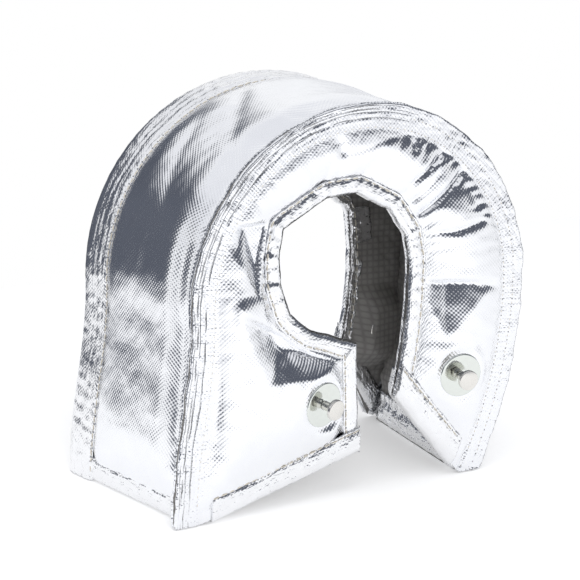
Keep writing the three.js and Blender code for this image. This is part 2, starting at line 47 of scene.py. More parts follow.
# Sizes in millimetres, as in the part's source
SEAM_DEPTH = 114.0
PAD = 12.0
PANEL_PUFF = 5.0
BAND_PUFF = 5.0
REACH = 36.0
HEM_THICK = 5.0
HEM_WIDTH = 9.0
HEM_RISE = 8.0
LOWEST_SKIN = 6.6  # over a panel's inner plane, at the bottom of the deepest crease
FLANGE = 11.0
REAR_STRIP = 9.0
INNER = SEAM_DEPTH / 2 - PAD
OUTER_BINDING = 1.3
FRONT_OUTLINE = (0.0, 113.0, 94.0, -106.0, 66.0)  # the arch's centre and radius, the two feet
REAR_OUTLINE = (-5.0, 113.0, 109.0, -127.0, 79.0)
KNEE = 0.42
FLARE = 0.35
RIGHT_BOW = 6.0

# The openings: centre, corners as (degrees, radius), the leg's inner corner and the right one
FRONT_OPENING = (
    (-9.5, 129.0),
    ((-82, 44.4), (-93.5, 41.1), (-107, 38.9), (-124, 40.4), (-138.5, 40.7), (-148, 41.6), (-161, 40.8),
     (-174.5, 41.7), (-193.4, 43.2), (-212.7, 47.2), (-252.6, 41.9), (-279, 41.5), (-312.5, 40.7),
     (-340, 41.0), (-367.4, 42.9)),
    (-170.0, 41.5),
    (-2.0, 25.0),
    (23.5, 53.0),
)
REAR_OPENING = (
    (-5.0, 112.0),
    ((-130, 60.0), (-152, 60.8), (-174, 60.0), (-196, 60.8), (-218, 60.0), (-240, 60.8), (-262, 60.0),
     (-284, 60.8), (-306, 60.0), (-329, 59.7), (-333, 62.6), (-337, 62.8), (-348, 60.6), (-362, 60.4)),
    (-170.0, 60.0),
    (-40.0, 16.0),
    (47.0, 48.0),
)
RUN_STEPS = (44, 36, 220, 70)  # stations on the left leg, the haunch, the arch and the right side


# Plane curves, as arrays of (x, z)


def stations(density=1.0):
    runs, shares = [], []
    for run, steps in enumerate(RUN_STEPS):
        count = max(4, round(steps * density))
        for k in range(0 if run == 0 else 1, count + 1):
            runs.append(run)
            shares.append(k / count)
    return np.array(runs), np.array(shares)


def bezier(points, t):
    p = np.array(points, float)
    t = t[:, None]
    if len(p) == 3:
        return (1 - t) ** 2 * p[0] + 2 * t * (1 - t) * p[1] + t**2 * p[2]
    return (1 - t) ** 3 * p[0] + 3 * t * (1 - t) ** 2 * p[1] + 3 * t**2 * (1 - t) * p[2] + t**3 * p[3]


def outline(sizes, runs, shares):
    x, z, radius, left, right = sizes
    t = np.where(runs == 0, shares * KNEE, KNEE + shares * (1 - KNEE))
    curve_left = bezier([(left, 0), (left, z * FLARE), (x - radius, z * (1 - FLARE)), (x - radius, z)], t)
    angle = math.pi * (1 - shares)
    arch = np.stack([x + radius * np.cos(angle), z + radius * np.sin(angle)], 1)
    bow = ((x + radius + right) / 2 + RIGHT_BOW, z * FLARE)
    curve_right = bezier([(x + radius, z), (x + radius, z * (1 - FLARE)), bow, (right, 0)], shares)
    return np.where(runs[:, None] < 2, curve_left, np.where(runs[:, None] == 2, arch, curve_right))


def outline_at(y, runs, shares):
    share = y / SEAM_DEPTH + 0.5
    return outline(FRONT_OUTLINE, runs, shares) * (1 - share) + outline(REAR_OUTLINE, runs, shares) * share


def ring_point(center, corners, degrees):
    """The point of the polygon at an angle."""
    angles = np.array([a for a, _ in corners], float)
    spots = np.array([(r * math.cos(math.radians(a)), r * math.sin(math.radians(a))) for a, r in corners])
    k = int(np.clip(np.searchsorted(-angles, -degrees) - 1, 0, len(angles) - 2))
    way = np.array([math.cos(math.radians(degrees)), math.sin(math.radians(degrees))])
    a, b = spots[k], spots[k + 1]
    side = b - a
    distance = (a[0] * side[1] - a[1] * side[0]) / (way[0] * side[1] - way[1] * side[0])
    return np.array(center) + way * distance


def opening(spec, runs, shares):
    center, corners, (haunch, _), leg, right = spec
    first = corners[0][0]
    knee = ring_point(center, corners, first)
    start = ring_point(center, corners, -360.0)
    side = bezier([tuple(start), (start[0], (start[1] + right[1]) / 2), right], shares)
    points = []
    for i, (run, t) in enumerate(zip(runs, shares)):
        if run == 0:
            points.append(np.array(leg) * (1 - t) + knee * t)
        elif run == 1:
            points.append(ring_point(center, corners, first + t * (haunch - first)))
        elif run == 2:
            points.append(ring_point(center, corners, haunch + t * (-360 - haunch)))
        else:
            points.append(side[i])
    return np.array(points)


def along(points):
    steps = np.linalg.norm(np.diff(points, axis=0), axis=1)
    return np.concatenate([[0.0], np.cumsum(steps)])


def smooth(values, lengths, spread):
    """A gaussian mean along a rail, with the spread in millimetres."""
    weights = np.exp(-0.5 * ((lengths[:, None] - lengths[None, :]) / spread) ** 2)
    weights /= weights.sum(1, keepdims=True)
    return weights @ values


def normals_of(points, spread=2.5):
    """Unit normals to the left of the way along a rail."""
    lengths = along(points)
    way = np.gradient(points, lengths, axis=0)
    normal = np.stack([-way[:, 1], way[:, 0]], 1)
    normal = smooth(normal, lengths, spread)
    return normal / np.linalg.norm(normal, axis=1, keepdims=True)


def foot_distance(points, inset=9.0):
    lengths = along(points)
    return np.minimum(lengths - inset, lengths[-1] - inset - lengths)


def missing(distance, reach=REACH):
    return (1 - np.clip(distance / reach, 0, 1)) ** 2


def noise2(u, v, scale, seed, octaves=3):
    """Smooth seeded noise over two coordinates, about -1 to 1."""
    draw = np.random.default_rng(seed)
    total = np.zeros(np.broadcast(u, v).shape)
    for octave in range(octaves):
        for _ in range(7):
            turn, phase = draw.uniform(0, 2 * math.pi, 2)
            pace = 2 * math.pi / scale * 2**octave * draw.uniform(0.6, 1.3)
            total = total + np.sin(pace * (u * math.cos(turn) + v * math.sin(turn)) + phase) / 2**octave
    return total / 4.5


# Mesh making


def mesh_object(name, grid, material, uv=None, flip=False, wrap=False, smooth_shade=True):
    """A grid of points in millimetres, rows by columns, as a mesh piece in metres."""
    rows, columns = grid.shape[:2]
    points = (grid.reshape(-1, 3) + SHIFT) * MM
    i, j = np.meshgrid(np.arange(rows - 1), np.arange(columns if wrap else columns - 1), indexing="ij")
    i, j = i.ravel(), j.ravel()
    k = (j + 1) % columns
    faces = np.stack([i * columns + j, i * columns + k, (i + 1) * columns + k, (i + 1) * columns + j], 1)
    if flip:
        faces = faces[:, ::-1]
    mesh = bpy.data.meshes.new(name)
    mesh.from_pydata(points.tolist(), [], faces.tolist())
    if uv is not None:
        layer = mesh.uv_layers.new(name="cloth")
        flat = uv.reshape(-1, 2)
        loops = np.empty(len(mesh.loops), np.int32)
        mesh.loops.foreach_get("vertex_index", loops)
        layer.data.foreach_set("uv", flat[loops].astype(np.float32).ravel())
    return place(name, mesh, material, smooth_shade)


def place(name, mesh, material, smooth_shade=True):
    mesh.update()
    obj = bpy.data.objects.new(name, mesh)
    scene.collection.objects.link(obj)
    mesh.materials.append(material)
    if smooth_shade:
        mesh.polygons.foreach_set("use_smooth", [True] * len(mesh.polygons))
    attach(obj, "root")
    return obj


def thicken(obj, thickness, offset=-1.0):
    mod = obj.modifiers.new("thickness", "SOLIDIFY")
    mod.thickness = thickness * MM
    mod.offset = offset
    mod.use_even_offset = False
    return obj


def lift(points, y):
    return np.stack([points[:, 0], np.broadcast_to(y, len(points)), points[:, 1]], 1)


# Materials


def material(name):
    made = bpy.data.materials.new(name)
    made.use_nodes = True
    tree = made.node_tree
    shader = tree.nodes["Principled BSDF"]
    return made, tree, shader


def node(tree, kind, inputs=None, **settings):
    made = tree.nodes.new(kind)
    for key, value in settings.items():
        setattr(made, key, value)
    for key, value in (inputs or {}).items():
        if isinstance(value, bpy.types.NodeSocket):
            tree.links.new(value, made.inputs[key])
        else:
            made.inputs[key].default_value = value
    return made


def maths(tree, operation, *values):
    return node(tree, "ShaderNodeMath", dict(enumerate(values)), operation=operation).outputs[0]


def mixed(tree, factor, a, b):
    """A colour between two others."""
    made = node(tree, "ShaderNodeMix", {"Factor": factor}, data_type="RGBA")
    for key, value in ((6, a), (7, b)):
        if isinstance(value, bpy.types.NodeSocket):
            tree.links.new(value, made.inputs[key])
        else:
            made.inputs[key].default_value = (*value, 1.0)
    return made.outputs[2]


def ramp(tree, value, stops):
    made = node(tree, "ShaderNodeValToRGB", {"Fac": value})
    elements = made.color_ramp.elements
    elements[0].position, elements[0].color = stops[0][0], (stops[0][1],) * 3 + (1,)
    elements[1].position, elements[1].color = stops[-1][0], (stops[-1][1],) * 3 + (1,)
    for position, shade in stops[1:-1]:
        elements.new(position).color = (shade,) * 3 + (1,)
    return made.outputs["Color"]


def cloth_coordinates(tree):
    """The two directions along the threads, in millimetres."""
    uv = node(tree, "ShaderNodeUVMap", uv_map="cloth").outputs[0]
    parts = node(tree, "ShaderNodeSeparateXYZ", {0: uv})
    return uv, parts.outputs[0], parts.outputs[1]


def weave(tree, u, v, pitch):
    """Threads that pass over and under each other: 1 on a crown, -1 in a gap."""
    turn = math.pi / pitch
    across = maths(tree, "SINE", maths(tree, "MULTIPLY", u, turn))
    down = maths(tree, "SINE", maths(tree, "MULTIPLY", v, turn))
    return maths(tree, "MULTIPLY", across, down)


def bump(tree, height, distance, normal=None):
    inputs = {"Height": height, "Distance": distance * MM, "Strength": 1.0}
    if normal is not None:
        inputs["Normal"] = normal
    return node(tree, "ShaderNodeBump", inputs).outputs[0]


def foil_material(name, tint, roughness, weave_depth, crease_depth, stretch, rows, pitch):
    """Aluminised cloth: a bright film over a plain weave, creased where it is folded or sewn.

    Seams are found by the attributes along and across, in millimetres; rows are the stitch lines' places across."""
    made, tree, shader = material(name)
    uv, u, v = cloth_coordinates(tree)
    threads = weave(tree, u, v, 1.15)
    crumple, along_seam, across_seam = (
        node(tree, "ShaderNodeAttribute", attribute_name=key).outputs["Fac"] for key in ("crumple", "along", "across")
    )
    soft = node(tree, "ShaderNodeTexNoise", {"Vector": uv, "Scale": 0.09, "Detail": 2.0, "Roughness": 0.5})
    place_on = node(tree, "ShaderNodeCombineXYZ", {0: along_seam, 1: across_seam})
    lines = node(tree, "ShaderNodeMapping", {"Vector": place_on.outputs[0], "Scale": (*stretch, 1.0)})
    creases = node(tree, "ShaderNodeTexNoise", {"Vector": lines.outputs[0], "Scale": 1.0, "Detail": 2.0, "Distortion": 0.6})
    creases = maths(tree, "MULTIPLY", creases.outputs["Fac"], crumple)
    sewn = node(tree, "ShaderNodeAttribute", attribute_name="sewn").outputs["Fac"]
    holes = maths(tree, "MULTIPLY", stitch_holes(tree, along_seam, across_seam, rows, pitch), sewn)
    layered = node(tree, "ShaderNodeAttribute", attribute_name="plies").outputs["Fac"]
    plies = maths(tree, "MULTIPLY", ply_lines(tree, along_seam, across_seam, PLY_EDGES), layered)
    normal = bump(tree, soft.outputs["Fac"], 0.35)
    normal = bump(tree, maths(tree, "MULTIPLY", plies, -1.0), 0.5, normal)
    normal = bump(tree, creases, crease_depth, normal)
    normal = bump(tree, maths(tree, "MULTIPLY", holes, -1.0), 0.3, normal)
    normal = bump(tree, threads, weave_depth, normal)
    tree.links.new(normal, shader.inputs["Normal"])
    worn = node(tree, "ShaderNodeTexNoise", {"Vector": uv, "Scale": 0.05, "Detail": 5.0, "Roughness": 0.7})
    worn = node(tree, "ShaderNodeMapRange", {"Value": worn.outputs["Fac"], "From Min": 0.35, "From Max": 0.7})
    bright = mixed(tree, worn.outputs[0], [c * 0.965 for c in tint], tint)
    # The needle holes and the plies' edges turn the foil dark grey. The holes are the foil's own marks; the dark along
    # the ply edges is painted shade in the gaps between the plies.
    marks = maths(tree, "MAXIMUM", holes, maths(tree, "MULTIPLY", plies, 0.9))
    tree.links.new(mixed(tree, marks, bright, (0.36, 0.355, 0.35)), shader.inputs["Base Color"])
    rough = node(
        tree, "ShaderNodeMapRange",
        {"Value": worn.outputs[0], "To Min": roughness * 1.25, "To Max": roughness * 0.85},
    )
    tree.links.new(rough.outputs[0], shader.inputs["Roughness"])
    shader.inputs["Metallic"].default_value = 1.0
    return made


# These lines give the ply edges' grooves in the bump, and their painted shade in the foil's colour.
def ply_lines(tree, along_seam, across_seam, places):
    """1 on the edges of the plies that lie over each other in a seam."""
    total = None
    for row, place_at in enumerate(places):
        way = node(tree, "ShaderNodeCombineXYZ", {0: maths(tree, "MULTIPLY", along_seam, 0.035), 1: row * 9.0})
        drift = node(tree, "ShaderNodeTexNoise", {"Vector": way.outputs[0], "Scale": 1.0, "Detail": 2.0}).outputs["Fac"]
        at = maths(tree, "MULTIPLY_ADD", drift, 3.4, place_at - 1.7)
        away = maths(tree, "ABSOLUTE", maths(tree, "SUBTRACT", across_seam, at))
        near = node(tree, "ShaderNodeMapRange", {"Value": away, "From Min": 0.36, "From Max": 0.06}).outputs[0]
        way = node(tree, "ShaderNodeCombineXYZ", {0: maths(tree, "MULTIPLY", along_seam, 0.06), 1: row * 5.0 + 40.0})
        shown = node(tree, "ShaderNodeTexNoise", {"Vector": way.outputs[0], "Scale": 1.0, "Detail": 1.0}).outputs["Fac"]
        shown = node(tree, "ShaderNodeMapRange", {"Value": shown, "From Min": 0.38, "From Max": 0.62}).outputs[0]
        near = maths(tree, "MULTIPLY", near, shown)
        total = near if total is None else maths(tree, "MAXIMUM", total, near)
    return total


def stitch_holes(tree, along_seam, across_seam, rows, pitch):
    """1 in a needle's hole at both ends of each stitch, 0 elsewhere."""
    turn = maths(tree, "MULTIPLY", along_seam, 2 * math.pi / pitch)
    spots = node(tree, "ShaderNodeMapRange", {"Value": maths(tree, "COSINE", turn), "From Min": 0.87, "From Max": 0.96})
    total = None
    for row in rows:
        away = maths(tree, "ABSOLUTE", maths(tree, "SUBTRACT", across_seam, row))
        near = node(tree, "ShaderNodeMapRange", {"Value": away, "From Min": 0.42, "From Max": 0.24}).outputs[0]
        total = near if total is None else maths(tree, "MAXIMUM", total, near)
    return maths(tree, "MULTIPLY", spots.outputs[0], total)


def liner_material():
    """Dark woven glass cloth: bundles of threads in a square grid, with a paler crown on each."""
    made, tree, shader = material("woven_liner")
    uv, u, v = cloth_coordinates(tree)
    cells = weave(tree, u, v, 3.7)
    strands = weave(tree, u, v, 0.46)
    mottle = node(tree, "ShaderNodeTexNoise", {"Vector": uv, "Scale": 0.06, "Detail": 4.0}).outputs["Fac"]
    crowns = node(tree, "ShaderNodeMapRange", {"Value": maths(tree, "ABSOLUTE", cells), "From Min": 0.1, "From Max": 0.65})
    shade = maths(tree, "MULTIPLY_ADD", mottle, 0.55, maths(tree, "MULTIPLY", crowns.outputs[0], 0.3))
    shade = maths(tree, "MULTIPLY_ADD", strands, 0.08, shade)
    tree.links.new(mixed(tree, shade, (0.155, 0.15, 0.145), (0.43, 0.415, 0.40)), shader.inputs["Base Color"])
    normal = bump(tree, cells, 0.16)
    normal = bump(tree, strands, 0.05, normal)
    tree.links.new(normal, shader.inputs["Normal"])
    shader.inputs["Roughness"].default_value = 0.62
    shader.inputs["Specular IOR Level"].default_value = 0.4
    shader.inputs["Sheen Weight"].default_value = 0.15
    return made


def felt_material():
    """Needled fibre mat."""
    made, tree, shader = material("insulation_mat")
    where = node(tree, "ShaderNodeTexCoord").outputs["Object"]
    clumps = node(tree, "ShaderNodeTexNoise", {"Vector": where, "Scale": 160.0, "Detail": 6.0, "Roughness": 0.7})
    fibres = node(tree, "ShaderNodeTexNoise", {"Vector": where, "Scale": 1400.0, "Detail": 3.0, "Distortion": 2.5})
    shade = maths(tree, "MULTIPLY_ADD", fibres.outputs["Fac"], 0.5, maths(tree, "MULTIPLY", clumps.outputs["Fac"], 0.5))
    tree.links.new(mixed(tree, shade, (0.62, 0.58, 0.49), (0.88, 0.86, 0.80)), shader.inputs["Base Color"])
    normal = bump(tree, clumps.outputs["Fac"], 0.6)
    tree.links.new(bump(tree, fibres.outputs["Fac"], 0.25, normal), shader.inputs["Normal"])
    shader.inputs["Roughness"].default_value = 0.95
    return made


def thread_material():
    made, tree, shader = material("sewing_thread")
    where = node(tree, "ShaderNodeTexCoord").outputs["Object"]
    twist = node(tree, "ShaderNodeTexNoise", {"Vector": where, "Scale": 2600.0, "Detail": 2.0}).outputs["Fac"]
    tree.links.new(mixed(tree, twist, (0.50, 0.45, 0.37), (0.82, 0.78, 0.69)), shader.inputs["Base Color"])
    tree.links.new(bump(tree, twist, 0.06), shader.inputs["Normal"])
    shader.inputs["Roughness"].default_value = 0.7
    return made


def steel_material(name, tint, roughness, grain_depth):
    """Stamped stainless steel with the fine rings of a turned or polished disc."""
    made, tree, shader = material(name)
    uv, u, v = cloth_coordinates(tree)
    rings = node(tree, "ShaderNodeTexNoise", {"Vector": uv, "Scale": 1.0, "Detail": 3.0})
    stretched = node(tree, "ShaderNodeMapping", {"Vector": uv, "Scale": (9.0, 0.02, 1.0)})
    tree.links.new(stretched.outputs[0], rings.inputs["Vector"])
    marks = node(tree, "ShaderNodeTexNoise", {"Vector": uv, "Scale": 0.5, "Detail": 4.0}).outputs["Fac"]
    tree.links.new(mixed(tree, marks, [c * 0.92 for c in tint], tint), shader.inputs["Base Color"])
    rough = node(
        tree, "ShaderNodeMapRange",
        {"Value": rings.outputs["Fac"], "To Min": roughness * 0.7, "To Max": roughness * 1.4},
    )
    tree.links.new(rough.outputs[0], shader.inputs["Roughness"])
    tree.links.new(bump(tree, rings.outputs["Fac"], grain_depth), shader.inputs["Normal"])
    shader.inputs["Metallic"].default_value = 1.0
    return made


STITCH = 4.8
SEAM_ROWS = (-2.0, 4.5)  # the front seam's two stitch lines, measured out from the band
# Where the plies' edges lie across the front seam. The foil is bumped in there and darkened with painted shade.
PLY_EDGES = (3.0, 6.2, 7.8, 9.6)
STRIP_ROW = 1.4  # how far inside its edge a strip is stitched
FOIL = foil_material("foil_skin", (0.945, 0.955, 0.98), 0.15, 0.042, 0.35, (0.62, 0.09), SEAM_ROWS, STITCH)
STRIP = foil_material("foil_binding", (0.94, 0.945, 0.96), 0.16, 0.034, 0.45, (0.10, 0.55), (STRIP_ROW,), STITCH)
LINER = liner_material()
FELT = felt_material()
THREAD = thread_material()
WASHER = steel_material("washer_steel", (0.80, 0.83, 0.79), 0.09, 0.004)
ANCHOR = steel_material("anchor_steel", (0.84, 0.82, 0.78), 0.22, 0.01)


# Fields over a grid


def upsample(field, rows, columns):
    """A field of few rows and columns, spread smoothly over more of both."""
    def along_axis(values, count):
        old = values.shape[0]
        t = np.linspace(0, old - 1, count)
        k = np.clip(np.floor(t).astype(int), 0, old - 2)
        f = (t - k).reshape(-1, *([1] * (values.ndim - 1)))
        p0, p1 = values[np.maximum(k - 1, 0)], values[k]
        p2, p3 = values[k + 1], values[np.minimum(k + 2, old - 1)]
        return p1 + 0.5 * f * (p2 - p0 + f * (2 * p0 - 5 * p1 + 4 * p2 - p3 + f * (3 * (p1 - p2) + p3 - p0)))
    return np.swapaxes(along_axis(np.swapaxes(along_axis(field, rows), 0, 1), columns), 0, 1)


def grid_normals(grid):
    """Unit normals of a grid of points, all to one side."""
    down = np.gradient(grid, axis=0)
    across = np.gradient(grid, axis=1)
    normal = np.cross(down, across)
    return normal / np.maximum(np.linalg.norm(normal, axis=2, keepdims=True), 1e-9)


def settled(grid, pinned, steps, pressure, extra, stiffness, bending, cap, facing):
    """How far cloth that starts as the grid moves when it is sewn down at the pins and blown up a little.

    The cloth is longer than the grid by the share extra, so it buckles into wrinkles."""
    rows, columns = grid.shape[:2]
    scale = 0.1
    i, j = np.meshgrid(np.arange(rows - 1), np.arange(columns - 1), indexing="ij")
    i, j = i.ravel(), j.ravel()
    faces = np.stack([i * columns + j, i * columns + j + 1, (i + 1) * columns + j + 1, (i + 1) * columns + j], 1)
    if facing < 0:
        faces = faces[:, ::-1]
    mesh = bpy.data.meshes.new("settling")
    mesh.from_pydata((grid.reshape(-1, 3) * scale).tolist(), [], faces.tolist())
    mesh.update()
    obj = bpy.data.objects.new("settling", mesh)
    scene.collection.objects.link(obj)
    group = obj.vertex_groups.new(name="sewn")
    for weight in np.unique(pinned.round(3)):
        if weight > 0:
            members = np.flatnonzero(np.isclose(pinned.ravel(), weight, atol=5e-4)).tolist()
            group.add(members, float(weight), "REPLACE")
    cloth = obj.modifiers.new("cloth", "CLOTH")
    facts = cloth.settings
    facts.quality = 6
    facts.mass = 0.3
    facts.tension_stiffness = stiffness
    facts.compression_stiffness = stiffness
    facts.shear_stiffness = stiffness * 0.5
    facts.bending_stiffness = bending
    facts.air_damping = 3.0
    facts.shrink_min = -extra
    facts.vertex_group_mass = "sewn"
    facts.pin_stiffness = 1.0
    facts.use_pressure = pressure != 0
    facts.uniform_pressure_force = pressure
    facts.effector_weights.gravity = 0.0
    cloth.collision_settings.use_collision = False
    cloth.collision_settings.use_self_collision = False
    cloth.point_cache.frame_start = 1
    cloth.point_cache.frame_end = steps
    for step in range(1, steps + 1):
        scene.frame_set(step)
    shown = obj.evaluated_get(bpy.context.evaluated_depsgraph_get())
    co = np.empty(rows * columns * 3, np.float32)
    shown.data.vertices.foreach_get("co", co)
    scene.frame_set(1)
    bpy.data.objects.remove(obj)
    bpy.data.meshes.remove(mesh)
    moved = co.reshape(rows, columns, 3).astype(float) / scale - grid
    size = np.linalg.norm(moved, axis=2, keepdims=True)
    moved = np.where(np.isfinite(moved), moved, 0.0)
    return moved * np.minimum(1, cap / np.maximum(size, 1e-9))


def attribute(obj, name, values):
    layer = obj.data.attributes.new(name, "FLOAT", "POINT")
    layer.data.foreach_set("value", np.asarray(values, np.float32).ravel())


# The panels' plan


def unlooped(line, edge, least):
    """A line beside an edge, without the loops that it makes inside the edge's sharp corners."""
    gaps = np.linalg.norm(line[:, None] - edge[None, :], axis=2).min(1)
    good = gaps > least
    good[:3] = good[-3:] = True
    where = np.arange(len(line))
    return np.stack([np.interp(where, where[good], line[good, k]) for k in (0, 1)], 1)


def plan(side, spec, margin, density=1.0):
    """A panel's lines, station by station: opening, hem's stitches, seam's stitches and outline."""
    runs, shares = stations(density)
    edge = opening(spec, runs, shares)
    rim = outline_at(side * SEAM_DEPTH / 2, runs, shares)
    lengths = along(edge)
    normal = normals_of(edge)
    tangent = np.stack([normal[:, 1], -normal[:, 0]], 1)
    ruling = rim - edge
    ruling /= np.linalg.norm(ruling, axis=1, keepdims=True)
    square = np.abs(ruling[:, 0] * tangent[:, 1] - ruling[:, 1] * tangent[:, 0])
    near_foot = np.exp(-((np.minimum(lengths, lengths[-1] - lengths) / 16.0) ** 2))[:, None]
    inward = normal * (1 - near_foot) + ruling / np.maximum(square, 0.3)[:, None] * near_foot
    hem = unlooped(edge + inward * HEM_WIDTH, edge, HEM_WIDTH * 0.93)
    rim_normal = normals_of(rim)
    seam = rim - rim_normal * margin
    return dict(
        side=side, edge=edge, inward=inward, hem=hem, seam=seam, rim=rim, rim_normal=rim_normal,
        lengths=lengths, rim_lengths=along(rim), from_foot=foot_distance(edge), runs=runs, shares=shares,
    )


def soft_max(*values, power=5.0):
    return sum(np.maximum(v, 0) ** power for v in values) ** (1 / power)


def rise(panel, share, width):
    """Height of a panel's outer face over its inner plane between the hem (share 0) and the seam (share 1)."""
    from_hem, from_seam = share * width, (1 - share) * width
    arch = np.clip((panel["rim"][:, 1] - 120.0) / 50.0, 0, 1) * np.clip((115.0 - panel["rim"][:, 0]) / 40.0, 0, 1)
    full = PAD + PANEL_PUFF - 3.2 * arch[:, None]
    foot = HEM_RISE + (PAD - HEM_RISE) * share
    drop = soft_max(
        (full - HEM_RISE) * missing(from_hem, 30.0),
        (full - PAD) * missing(from_seam, 26.0),
        (full - foot) * missing(panel["from_foot"][:, None], 30.0),
    )
    height = full - np.minimum(drop, full - HEM_RISE)
    even = smooth(height, panel["rim_lengths"], 5.0)
    free = np.clip(4 * share * (1 - share), 0, 1) * np.clip(panel["from_foot"] / 12.0, 0, 1)[:, None]
    return height * (1 - free) + even * free


def sink(panel, share, width):
    foot = HEM_RISE + (PAD - HEM_RISE) * share - HEM_THICK
    drop = soft_max((HEM_RISE - HEM_THICK) * missing(share * width), foot * missing(panel["from_foot"][:, None], 26.0))
    return drop


def panel_points(panel, share, height):
    """Points between the hem's and the seam's stitches, at a height over the inner plane."""
    flat = panel["hem"][:, None] * (1 - share[..., None]) + panel["seam"][:, None] * share[..., None]
    return np.stack([flat[..., 0], panel["side"] * (INNER + height), flat[..., 1]], 2)


def spread_share(panel, columns):
    share = np.broadcast_to(np.linspace(0, 1, columns), (len(panel["edge"]), columns))
    width = np.linalg.norm(panel["seam"] - panel["hem"], axis=1)[:, None]
    return share, width


# Folds on the front panel: two ends (x, z), half width, depth and how far a fold leans to one side,
# from -1 to 1. A positive depth is a valley.
FRONT_FOLDS = (
    ((-80, 113), (-62, 116), 8.0, -1.8, 0.0),
    ((-62, 97), (-54, 72), 3.2, 0.9, 0.3),
    ((-52, 92), (-42, 70), 3.0, 0.9, -0.3),
    ((53, 190), (31, 172), 3.6, 2.3, 0.6),
    ((46, 176), (31, 160), 2.6, 1.3, 0.5),
    ((68, 180), (36, 151), 4.0, 2.9, 0.6),
    ((64, 168), (72, 155), 3.0, 1.4, 0.3),
    ((56, 142), (75, 147), 3.6, 1.2, -0.4),
    ((-10, 193), (26, 202), 3.0, 0.6, 0.6),
    ((27, 203), (31, 190), 2.6, 1.5, 0.2),
    ((-20, 209), (-13, 192), 4.0, 2.0, 0.4),
    ((-42, 203), (-51, 192), 2.6, 1.5, 0.3),
    ((-97, 125), (-92, 40), 5.0, 2.4, 0.0),
)

# A slanting facet: the ends of the crease at its top, the point where it runs out, and its depth
FRONT_FACETS = (
    ((-92, 159), (-58, 159), (-66, 120), 9.5),
    ((-78, 111), (-12, 73), (-63, 72), 7.5),
    ((38, 115), (84, 110), (52, 82), 6.8),
    ((66, 74), (84, 84), (80, 66), 1.2),
)


def facet_height(x, z, facets):
    """Cloth that sinks evenly towards a crease and rises steeply beyond it."""
    total = np.zeros(x.shape)
    x, z = x + 1.5 * noise2(x, z, 48.0, 301, 1), z + 1.5 * noise2(x, z, 48.0, 302, 1)
    for (x0, z0), (x1, z1), (x2, z2), depth in facets:
        length = math.hypot(x1 - x0, z1 - z0)
        ux, uz = (x1 - x0) / length, (z1 - z0) / length
        t = ((x - x0) * ux + (z - z0) * uz) / length
        below = (x - x0) * uz - (z - z0) * ux
        tip = (x2 - x0) * uz - (z2 - z0) * ux
        tip_at = ((x2 - x0) * ux + (z2 - z0) * uz) / length
        reach = tip * np.clip(np.minimum(t / max(tip_at, 0.05), (1 - t) / max(1 - tip_at, 0.05)), 0, 1)
        sides = np.clip(np.minimum(t + 0.12, 1.12 - t) / 0.24, 0, 1)
        slope = np.clip(1 - below / np.maximum(reach, 5.0), 0, 1) * (below >= 0)
        beyond = np.clip(1 + below / 3.6, 0, 1) ** 2 * (below < 0)
        total -= depth * sides * sides * (3 - 2 * sides) * np.clip(reach / max(tip, 1e-6), 0.25, 1) * (slope + beyond)
    return total


def fold_height(x, z, folds, wider=0.0):
    total = np.zeros(x.shape)
    for (x0, z0), (x1, z1), half, depth, lean in folds:
        half = half + wider
        length = math.hypot(x1 - x0, z1 - z0)
        ux, uz = (x1 - x0) / length, (z1 - z0) / length
        t = ((x - x0) * ux + (z - z0) * uz) / length
        off = (-(x - x0) * uz + (z - z0) * ux) / half
        ends = np.clip((t + 0.18) / 0.3, 0, 1) * np.clip((1.18 - t) / 0.3, 0, 1)
        ends = ends * ends * (3 - 2 * ends)
        skew = off + lean * np.exp(-off * off) * 0.9
        total -= depth * ends * np.exp(-skew * skew)
    return total


def gathers(lengths, distance, pitch, reach, depth, seed):
    """Small radial puckers that run out of a sewn line."""
    draw = np.random.default_rng(seed)
    phase = lengths * 2 * math.pi / pitch + 1.2 * np.sin(lengths / 17.0 + draw.uniform(0, 6))
    power = 0.55 + 0.45 * np.sin(lengths / 11.0 + draw.uniform(0, 6)) * np.sin(lengths / 5.3 + draw.uniform(0, 6))
    fade = np.exp(-((distance / reach) ** 2))
    return depth * (np.sin(phase) * power)[:, None] * fade


def tight(x, z):
    """Where the cloth is drawn in most: the arch's right shoulder."""
    t = np.clip((x - 12.0) / 28.0, 0, 1) * np.clip((z - 122.0) / 30.0, 0, 1)
    return t * t * (3 - 2 * t)


def seam_places(obj, along_seam, across_seam, sewn=1.0, plies=0.0):
    attribute(obj, "along", along_seam)
    attribute(obj, "across", across_seam)
    attribute(obj, "sewn", np.broadcast_to(sewn, along_seam.shape))
    attribute(obj, "plies", np.broadcast_to(plies, along_seam.shape))


